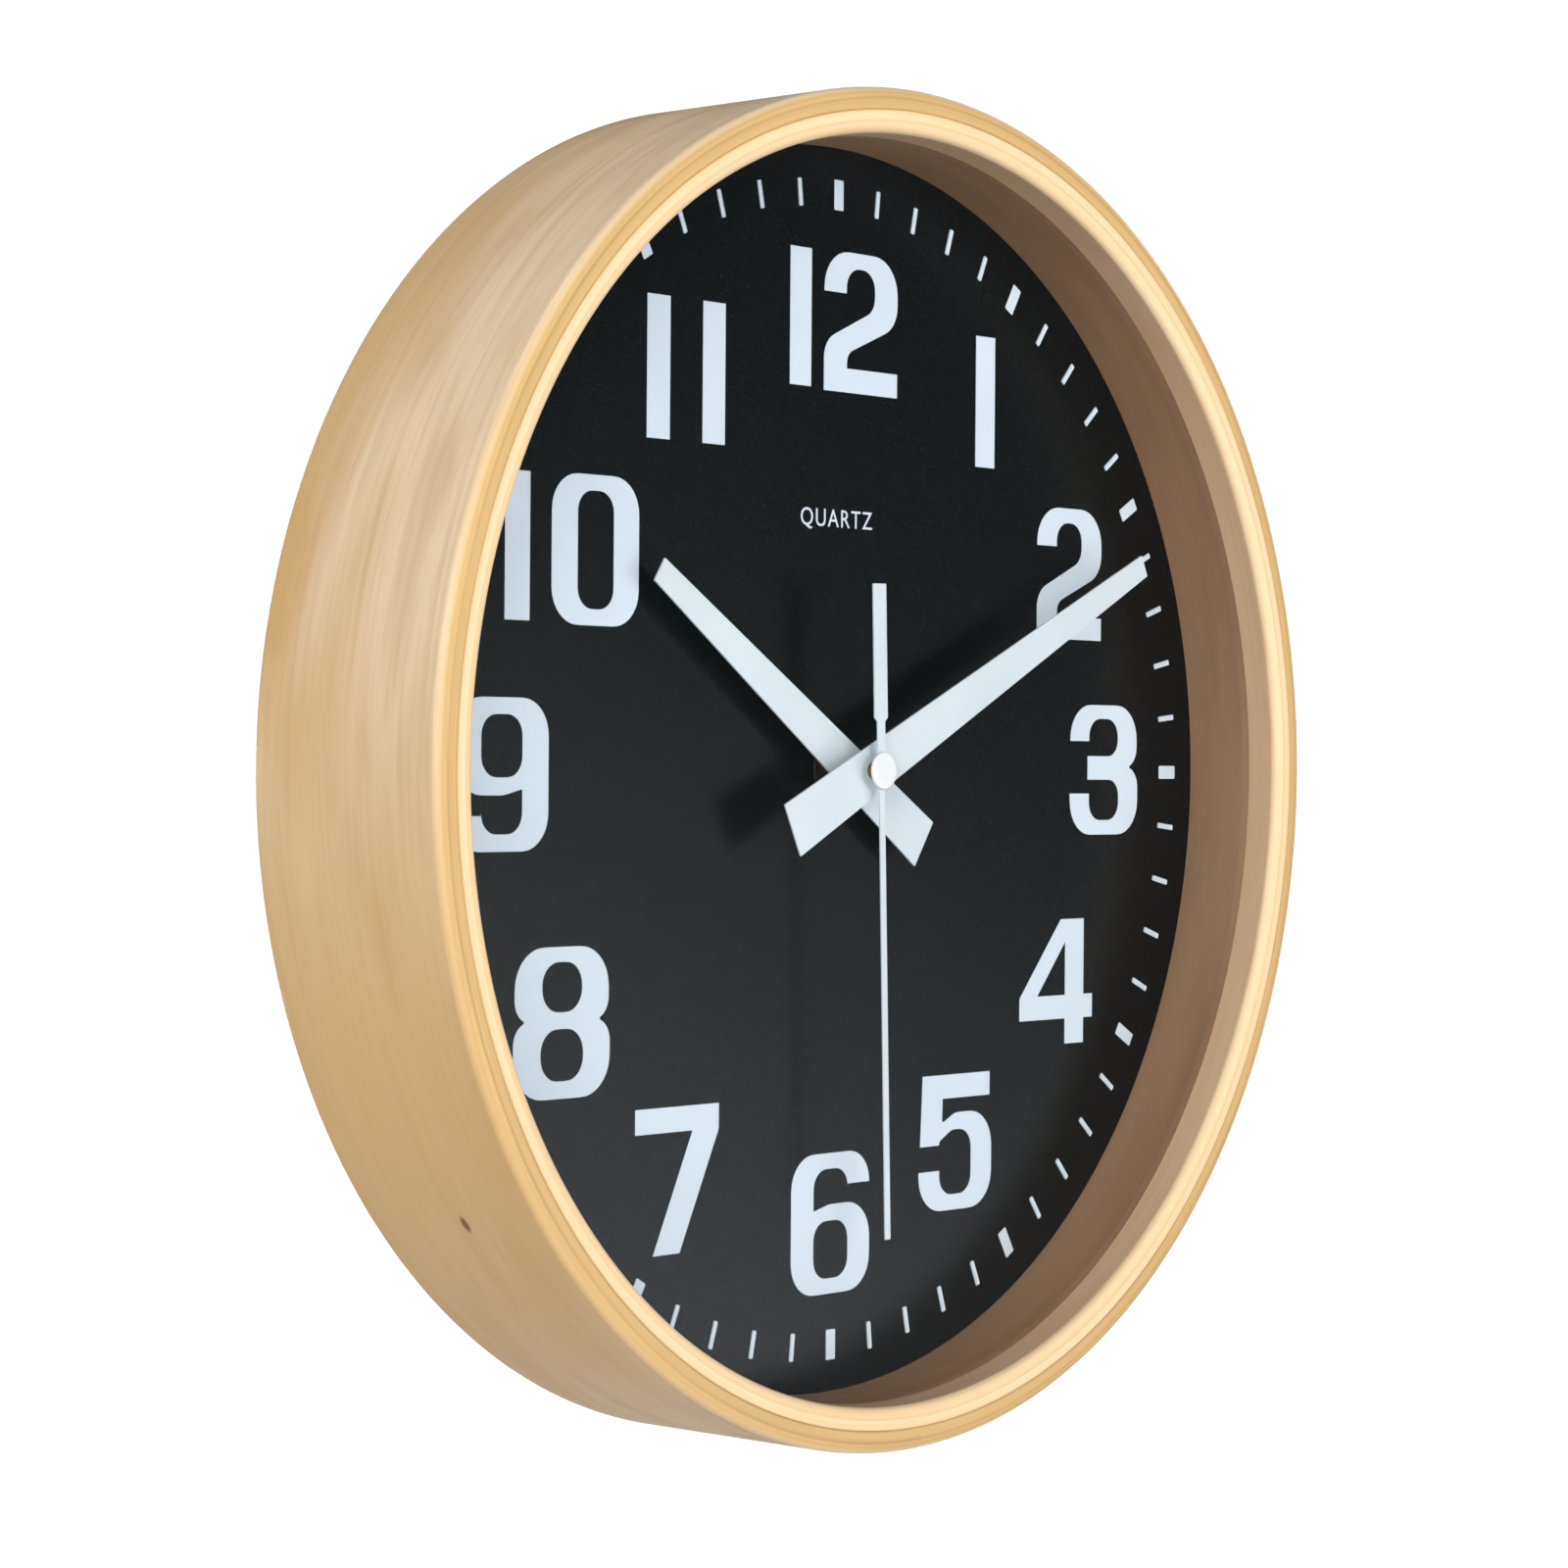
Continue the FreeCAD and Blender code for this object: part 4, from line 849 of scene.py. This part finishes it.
def stand_on_dial(obj, x, z):
    """Turns a flat curve or text object into a mesh on the dial."""
    ink = bpy.context.scene.clock_dial.ink
    only(obj)
    bpy.ops.object.convert(target="MESH")
    obj = bpy.context.object
    obj.rotation_euler = (pi / 2, 0, 0)
    obj.location = (SHAFT_X + x, DIAL_Y - ink / 2, SHAFT_Z + z)
    bake_place(obj)
    mend_normals(obj)
    return obj


class CLOCK_OT_numerals(bpy.types.Operator):
    """Prints the twelve numerals on the dial"""
    bl_idname = "clock.numerals"
    bl_label = "Numerals"

    def execute(self, context):
        dial = context.scene.clock_dial
        white = painted("print_white", tuple(dial.print_white), 0.5, 1500.0, 0.01 * MM, spread=0.02)
        for hour, (characters, (x, z)) in HOURS.items():
            shapes = [printed_shape(f"character_{hour}_{index}", NUMERALS[character], (x + offset) * MM,
                                    z * MM)
                      for index, (character, offset) in enumerate(characters)]
            numeral = join_pieces(f"numeral_{hour}", shapes)
            finish_piece(numeral, "case", white, slot="white_paint")
        coat("dial_face", dial_black())
        return {"FINISHED"}


def dial_mark(name, width, height):
    """Printed bar under twelve o'clock with slightly rounded corners."""
    dial = bpy.context.scene.clock_dial
    clear_selection()
    bpy.ops.mesh.primitive_cube_add(size=1, location=(SHAFT_X, DIAL_Y - dial.ink / 2,
                                                      SHAFT_Z + dial.mark_radius))
    mark = new_piece(name)
    mark.scale = (width * MM, dial.ink, height * MM)
    bake_place(mark)
    only(mark)
    bpy.ops.object.mode_set(mode="EDIT")
    bpy.ops.mesh.select_all(action="DESELECT")
    bpy.ops.object.mode_set(mode="OBJECT")
    for edge in mark.data.edges:
        ends = [mark.data.vertices[v].co for v in edge.vertices]
        edge.select = abs(ends[0].y - ends[1].y) > dial.ink / 2
    bpy.ops.object.mode_set(mode="EDIT")
    bpy.ops.mesh.select_mode(type="EDGE")
    bpy.ops.mesh.bevel(offset=0.25 * MM, segments=2, affect="EDGES")
    bpy.ops.mesh.select_mode(type="VERT")
    bpy.ops.object.mode_set(mode="OBJECT")
    return mark


class CLOCK_OT_minute_marks(bpy.types.Operator):
    """Prints the sixty minute marks and the small word under twelve"""
    bl_idname = "clock.minute_marks"
    bl_label = "Minute marks"

    def execute(self, context):
        dial = context.scene.clock_dial
        white = bpy.data.materials["print_white"]
        hour_mark, minute_mark = dial_mark("hour_mark", 3.2, 6.8), dial_mark("minute_mark", 1.3, 6.2)
        marks = [hour_mark, minute_mark]
        turn_about_shaft(minute_mark, radians(6))
        for minute in range(2, 60):
            first, start = (hour_mark, 0) if minute % 5 == 0 else (minute_mark, 1)
            marks.append(own_copy(first))
            turn_about_shaft(marks[-1], radians(6) * (minute - start))
        finish_piece(join_pieces("minute_marks", marks), "case", white, slot="white_paint")
        clear_selection()
        bpy.ops.object.text_add()
        word = bpy.context.object
        word.data.body, word.data.align_x, word.data.align_y = dial.word, "CENTER", "CENTER"
        word.data.extrude, word.data.space_character = 0, 1.15
        bpy.context.view_layer.update()
        word.data.size = dial.word_width / max(word.dimensions.x, 1e-6)
        word.data.extrude = dial.ink / 2
        word.data.resolution_u = 6
        word.name = "dial_word"
        word = stand_on_dial(word, 0, dial.word_height)
        finish_piece(word, "case", white, slot="white_paint")
        return {"FINISHED"}


# ---- hands ----
# (distance from the shaft, width) from the tail to the tip, in millimetres
HOUR_STATIONS = [(-30.7, 12.0), (77.3, 5.8)]
MINUTE_STATIONS = [(-30.3, 12.6), (115.3, 5.4)]
SECOND_STATIONS = [(-41.7, 4.5), (-11.8, 4.5), (-11.0, 2.6), (-0.6, 2.6), (0.6, 1.8), (105.0, 1.8)]


def hand_angle(node):
    """Clockwise angle of a hand from twelve, read from where its tip is."""
    points = [v.co - Vector((SHAFT_X, 0, SHAFT_Z)) for v in frame["nodes"][node].data.vertices]
    tips = sorted(points, key=lambda p: hypot(p.x, p.z))[-4:]
    middle = sum(tips, Vector()) / len(tips)
    return atan2(middle.x, middle.z)


def station_bar(name, stations, node, hole):
    """Flat bar through stations of width, from one block that is extruded end by end, on its node's place."""
    y0, y1 = span_y(node)
    middle = (y0 + y1) / 2
    (start, width), (end, _) = stations[0], stations[1]
    clear_selection()
    bpy.ops.mesh.primitive_cube_add(size=1, location=(SHAFT_X, middle, SHAFT_Z + (start + end) / 2 * MM))
    bar = new_piece(name)
    bar.scale = (width * MM, y1 - y0, (end - start) * MM)
    bake_place(bar)
    for index in range(1, len(stations)):
        place, width = stations[index]
        before, old_width = stations[index - 1]
        if index > 1:
            top = SHAFT_Z + before * MM
            pick_faces(bar, lambda c, n: n.z > 0.9 and abs(c.z - top) < 1e-6)
            bpy.ops.mesh.extrude_region_move(TRANSFORM_OT_translate={"value": (0, 0, (place - before) * MM)})
        else:
            top = SHAFT_Z + place * MM
            pick_faces(bar, lambda c, n: n.z > 0.9 and abs(c.z - top) < 1e-6)
        bpy.ops.transform.resize(value=(width / old_width, 1, 1),
                                 center_override=(SHAFT_X, middle, SHAFT_Z + place * MM))
        bpy.ops.object.mode_set(mode="OBJECT")
    cut(bar, add_rod("cutter", hole, y0 - MM, y1 + MM, vertices=48))
    soften(bar, bpy.context.scene.clock_hands.edge, 2)
    return bar


class CLOCK_OT_hands(bpy.types.Operator):
    """Models the hour, minute and second hands and the cap on the shaft"""
    bl_idname = "clock.hands"
    bl_label = "Hands"

    def execute(self, context):
        paint = painted("hand_white", tuple(context.scene.clock_hands.paint), 0.42, 1800.0, 0.015 * MM,
                        spread=0.02)
        for name, stations, node, body, shaft in (
                ("hour_bar", HOUR_STATIONS, "hour_hand", "hour_hand_set", "hour_hand_collet"),
                ("minute_bar", MINUTE_STATIONS, "minute_hand", "minute_hand_set", "minute_hand_bush"),
                ("second_bar", SECOND_STATIONS, "second_hand", "second_hand_set", "second_hand_tube")):
            hole = radius_of(shaft) * 0.62
            bar = station_bar(name, stations, node, hole)
            turn_about_shaft(bar, hand_angle(node))
            finish_piece(bar, body, paint, node, slot="white_paint")
        y0, y1 = span_y("second_hand_cap")
        cap = add_rod("hub_cap", radius_of("second_hand_cap"), y0, y1)
        pick_faces(cap, lambda c, n: n.y < -0.9)
        bpy.ops.mesh.inset(thickness=1.0 * MM)
        bpy.ops.mesh.inset(thickness=1.4 * MM)
        bpy.ops.object.mode_set(mode="OBJECT")
        soften(cap, 0.45 * MM, 4, radians(40))
        gloss = painted("cap_white", (0.78, 0.81, 0.83), 0.18, 300.0, 0.005 * MM, coat=0.5, spread=0.01)
        finish_piece(cap, "second_hand_set", gloss, "second_hand_cap", slot="white_gloss")
        return {"FINISHED"}


class CLOCK_OT_hub(bpy.types.Operator):
    """Models the nut, washer, collet, bush and tube around the shaft"""
    bl_idname = "clock.hub"
    bl_label = "Hub fittings"

    def execute(self, context):
        brass = turned_metal("turned_brass", (0.62, 0.44, 0.21), 0.36)
        # Painted shade: the nut and washer get brass darkened to stand for the shade they lie in.
        shade_brass = turned_metal("dull_brass", (0.13, 0.085, 0.055), 0.5)
        paint = bpy.data.materials["hand_white"]
        for name, node, body, width, material in (
                ("clamping_nut", "hex_nut", "case", 0.25 * MM, shade_brass),
                ("clamping_washer", "flat_washer", "case", 0.1 * MM, shade_brass),
                ("hour_collet", "hour_hand_collet", "hour_hand_set", 0.15 * MM, brass),
                ("minute_bush", "minute_hand_bush", "minute_hand_set", 0.2 * MM, paint),
                ("second_tube", "second_hand_tube", "second_hand_set", 0.1 * MM, paint)):
            stand_in(name, node, body, material, width, "bright_brass")
        return {"FINISHED"}


# ---- back ----
def loose_boxes(node):
    """Lowest and highest corner of each separate solid in a node."""
    obj = frame["nodes"][node].copy()
    obj.data = obj.data.copy()
    obj.parent = None
    bpy.context.scene.collection.objects.link(obj)
    only(obj)
    bpy.ops.object.mode_set(mode="EDIT")
    bpy.ops.mesh.select_all(action="SELECT")
    bpy.ops.mesh.remove_doubles(threshold=0.001 * MM)
    bpy.ops.mesh.separate(type="LOOSE")
    bpy.ops.object.mode_set(mode="OBJECT")
    boxes = []
    for part in list(bpy.context.selected_objects):
        points = [v.co for v in part.data.vertices]
        boxes.append((Vector(map(min, zip(*points))), Vector(map(max, zip(*points)))))
        bpy.data.objects.remove(part, do_unlink=True)
    return boxes


def crossed_screw(name, radius, shank, y0, y1, head, x, z):
    """Pan-head screw along Y with a cross recess, its head towards the wall."""
    screw = add_rod(name, shank, y0, y1 - head / 2, x, z, 24)
    cap = add_rod(name + "_head", radius, y1 - head, y1, x, z, 40)
    pick_faces(cap, lambda c, n: n.y > 0.9)
    bpy.ops.mesh.inset(thickness=radius * 0.3)
    bpy.ops.object.mode_set(mode="OBJECT")
    soften(cap, head * 0.35, 4, radians(40))
    for turn in (0, pi / 2):
        clear_selection()
        bpy.ops.mesh.primitive_cube_add(size=1, location=(x, y1, z), rotation=(0, turn + pi / 8, 0))
        blade = new_piece("blade")
        blade.scale = (radius * 1.15, head * 0.9, radius * 0.26)
        bake_place(blade)
        cut(cap, blade)
    return join_pieces(name, [screw, cap])


def crossed_screws(name, node, shank, head, slot):
    """All of a node's screws as one piece: one is modelled, the others are copies of it."""
    boxes = loose_boxes(node)
    low, high = boxes[0]
    first = crossed_screw(name, (high.x - low.x) / 2, shank, low.y, high.y, head,
                          (low.x + high.x) / 2, (low.z + high.z) / 2)
    screws = [first]
    for other_low, other_high in boxes[1:]:
        screws.append(own_copy(first))
        screws[-1].data.transform(Matrix.Translation((other_low + other_high - low - high) / 2))
    screws = join_pieces(name, screws)
    even_shading(screws)
    zinc = bpy.data.materials.get("zinc_screw") or brushed("zinc_screw", (0.62, 0.62, 0.60), 0.3,
                                                           (900, 900, 900))
    return finish_piece(screws, "case", zinc, node, slot=slot)


class CLOCK_OT_back(bpy.types.Operator):
    """Models the back panel, the hanging plate, its block and every screw"""
    bl_idname = "clock.back"
    bl_label = "Back"

    def execute(self, context):
        board = pressed_board()
        stand_in("back_board", "back_panel", "case", board, 0.35 * MM, "fibreboard")
        coat("dial_board", board)
        pine = plain_sawn("sawn_pine", (0.50, 0.31, 0.14), (0.72, 0.52, 0.29))
        stand_in("pine_block", "hanger_block", "case", pine, 0.5 * MM, "pine")
        steel = brushed("zinc_plate", (0.60, 0.61, 0.60), 0.34, (60, 1500, 1500))
        stand_in("keyhole_plate", "hanger_plate", "case", steel, 0.25 * MM, "zinc_steel")
        crossed_screws("panel_screws", "back_panel_screws", 1.2 * MM, 1.3 * MM, "zinc_steel")
        crossed_screws("plate_screws", "hanger_screws", 1.5 * MM, 1.5 * MM, "zinc_steel")
        return {"FINISHED"}


class CLOCK_OT_movement(bpy.types.Operator):
    """Models the movement's case, setting knob, contacts and battery"""
    bl_idname = "clock.movement"
    bl_label = "Movement"

    def execute(self, context):
        plastic = painted("moulded_black", (0.014, 0.014, 0.015), 0.45, 1400.0, 0.06 * MM, spread=0.15)
        for name, node, body, width in (("movement_front", "movement_front_case", "case", 0.3 * MM),
                                        ("movement_back", "movement_back_case", "case", 0.3 * MM),
                                        ("setting_dial", "setting_knob", "setting_knob_set", 0.15 * MM)):
            stand_in(name, node, body, plastic, width, "black_plastic")
        nickel = brushed("nickel_strip", (0.66, 0.63, 0.57), 0.26, (300, 300, 2500))
        for name, node in (("minus_contact", "contact_negative"), ("plus_contact", "contact_positive")):
            stand_in(name, node, "case", nickel, 0.08 * MM, "nickel_strip")
        low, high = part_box("battery")
        stand_in("battery_cell_aa", "battery", "battery_cell", battery_sleeve(low.x, high.x), 0.35 * MM,
                 "battery_sleeve", 3)
        return {"FINISHED"}


class CLOCK_OT_internals(bpy.types.Operator):
    """Finishes the gears, the motor and the circuit inside the movement"""
    bl_idname = "clock.internals"
    bl_label = "Internals"

    def execute(self, context):
        brass = bpy.data.materials["turned_brass"]
        acetal = painted("acetal_white", (0.74, 0.73, 0.68), 0.35, 700.0, 0.02 * MM)
        steel = brushed("motor_sheet", (0.42, 0.41, 0.40), 0.36, (1500, 200, 1500))
        rubber = painted("washer_rubber", (0.018, 0.018, 0.018), 0.75, 1600.0, 0.08 * MM, spread=0.2)
        magnet = painted("magnet_dark", (0.05, 0.05, 0.055), 0.4, 1200.0, 0.04 * MM, metallic=0.4, spread=0.2)
        black = painted("bobbin_black", (0.02, 0.02, 0.022), 0.4, 1100.0, 0.03 * MM, spread=0.15)
        can = brushed("crystal_can", (0.7, 0.7, 0.68), 0.22, (1800, 300, 300))
        finishes = {
            acetal: ("rotor_pinion", "intermediate_wheel", "seconds_wheel", "third_wheel", "centre_wheel",
                     "minute_wheel", "hour_wheel", "gear_plate"),
            brass: ("minute_pipe",), steel: ("stator", "coil_core"), rubber: ("rubber_washer",),
            magnet: ("rotor_magnet",), black: ("coil_bobbin", "driver_chip"), can: ("quartz_crystal",),
            wound_wire(): ("coil_winding",), printed_circuit(): ("circuit_board",),
        }
        for material, nodes in finishes.items():
            for node in nodes:
                coat(node, material)
        return {"FINISHED"}


# ---- stage ----
def soft_light(name, place, size, power, colour, aim=None):
    """Large square light that faces the clock; it isn't seen itself."""
    data = bpy.data.lights.new(name, "AREA")
    data.shape, data.size, data.energy, data.color = "SQUARE", size, power, colour
    lamp = bpy.data.objects.new(name, data)
    bpy.context.scene.collection.objects.link(lamp)
    centre = Vector(aim or (SHAFT_X, FRONT_Y, SHAFT_Z))
    lamp.location = centre + Vector(place)
    lamp.rotation_euler = (-Vector(place)).to_track_quat("-Z", "Y").to_euler()
    lamp.visible_camera = False
    lamp.visible_glossy = name != "front"
    return lamp


class CLOCK_OT_stage(bpy.types.Operator):
    """Sets up the floor, the backdrop, the lights and the camera"""
    bl_idname = "clock.stage"
    bl_label = "Stage"

    def execute(self, context):
        stage = context.scene.clock_stage
        clear_selection()
        bpy.ops.mesh.primitive_plane_add(size=5, location=(0, 0, CASE_LOW.z - stage.floor_drop))
        floor = new_piece("floor")
        pale = Shader("pale_floor", 0.9)
        pale.surface.inputs["Base Color"].default_value = (0.62, 0.62, 0.62, 1)
        floor.data.materials.append(pale.material)
        context.scene.world = studio_world(stage)
        context.scene.view_settings.view_transform = "Standard"
        soft_light("key", (-2.6, -1.35, 0.75), 1.6, stage.key, (1.0, 0.98, 0.95))
        soft_light("front", (-0.25, -2.25, 0.3), 1.4, stage.front, (1.0, 0.98, 0.95))
        soft_light("rear", (0.7, 2.2, 0.3), 1.5, stage.rear, (1.0, 1.0, 1.0))
        soft_light("side", (2.5, 0.6, 0.5), 1.6, stage.side, (1.0, 0.97, 0.93))
        add_camera(stage)
        return {"FINISHED"}


def studio_world(stage):
    """White surround, which adds a little light of its own and a soft brighter place to the lower right."""
    world = bpy.data.worlds.new("studio")
    world.use_nodes = True
    tree = world.node_tree
    surround = tree.nodes["Background"]
    bright = Vector((0.45, -0.80, -0.40)).normalized()
    place = tree.nodes.new("ShaderNodeVectorMath")
    place.operation = "DOT_PRODUCT"
    place.inputs[1].default_value = bright
    tree.links.new(tree.nodes.new("ShaderNodeTexCoord").outputs["Generated"], place.inputs[0])
    glow = tree.nodes.new("ShaderNodeMapRange")
    glow.interpolation_type = "SMOOTHSTEP"
    for socket, number in zip(glow.inputs[1:5], (cos(radians(33)), cos(radians(14)), stage.fill,
                                                 stage.sheen)):
        socket.default_value = number
    tree.links.new(place.outputs["Value"], glow.inputs[0])
    paths = tree.nodes.new("ShaderNodeLightPath")
    base = tree.nodes.new("ShaderNodeMapRange")
    base.inputs["To Min"].default_value, base.inputs["To Max"].default_value = stage.mirror, stage.fill
    tree.links.new(paths.outputs["Is Diffuse Ray"], base.inputs[0])
    tree.links.new(base.outputs[0], glow.inputs["To Min"])
    peak = tree.nodes.new("ShaderNodeMapRange")
    peak.inputs["To Min"].default_value, peak.inputs["To Max"].default_value = stage.gloss, stage.sheen
    tree.links.new(paths.outputs["Is Diffuse Ray"], peak.inputs[0])
    tree.links.new(peak.outputs[0], glow.inputs["To Max"])
    strength = tree.nodes.new("ShaderNodeMapRange")
    strength.inputs["To Max"].default_value = stage.white
    tree.links.new(paths.outputs["Is Camera Ray"], strength.inputs[0])
    tree.links.new(glow.outputs[0], strength.inputs["To Min"])
    tree.links.new(strength.outputs[0], surround.inputs["Strength"])
    surround.inputs["Color"].default_value = (0.90, 0.95, 1.0, 1)
    return world


def add_camera(stage):
    """Camera turned about the middle of the clock's front edge."""
    target = Vector((SHAFT_X, FRONT_Y, SHAFT_Z))
    turn, lift, roll = stage.azimuth, stage.elevation, stage.roll
    back = Vector((-sin(turn) * cos(lift), -cos(turn) * cos(lift), sin(lift)))
    right = Vector((0, 0, 1)).cross(back).normalized()
    up = back.cross(right)
    right, up = cos(roll) * right + sin(roll) * up, -sin(roll) * right + cos(roll) * up
    place = target - right * stage.aim_right - up * stage.aim_up + back * stage.distance
    data = bpy.data.cameras.new("camera")
    data.lens, data.sensor_width, data.clip_start = stage.lens, 36, 0.01
    camera = bpy.data.objects.new("camera", data)
    bpy.context.scene.collection.objects.link(camera)
    turned = Matrix((right, up, back)).transposed().to_4x4()
    camera.matrix_world = Matrix.Translation(place) @ turned
    bpy.context.scene.camera = camera


class CLOCK_PT_panel(bpy.types.Panel):
    """Lists the clock's building steps"""
    bl_label = "Bentwood Clock"
    bl_idname = "CLOCK_PT_panel"
    bl_space_type = "VIEW_3D"
    bl_region_type = "UI"
    bl_category = "Clock"

    def draw(self, context):
        for operator in OPERATORS:
            self.layout.operator(operator.bl_idname)


OPERATORS = (CLOCK_OT_hoops, CLOCK_OT_glass, CLOCK_OT_numerals, CLOCK_OT_minute_marks, CLOCK_OT_hands,
             CLOCK_OT_hub, CLOCK_OT_back, CLOCK_OT_movement, CLOCK_OT_internals, CLOCK_OT_stage)
SETTINGS = {"clock_case": CaseSettings, "clock_dial": DialSettings, "clock_hands": HandSettings,
            "clock_stage": StageSettings}


def register():
    """Registers the settings, the operators and the panel."""
    for name, group in SETTINGS.items():
        bpy.utils.register_class(group)
        setattr(bpy.types.Scene, name, PointerProperty(type=group))
    for cls in (*OPERATORS, CLOCK_PT_panel):
        bpy.utils.register_class(cls)


def unregister():
    """Takes the panel, the operators and the settings away again."""
    for cls in (CLOCK_PT_panel, *reversed(OPERATORS)):
        bpy.utils.unregister_class(cls)
    for name, group in SETTINGS.items():
        delattr(bpy.types.Scene, name)
        bpy.utils.unregister_class(group)


def main():
    """Builds the whole clock."""
    register()
    for operator in OPERATORS:
        group, name = operator.bl_idname.split(".")
        getattr(getattr(bpy.ops, group), name)()


if __name__ == "__main__":
    main()
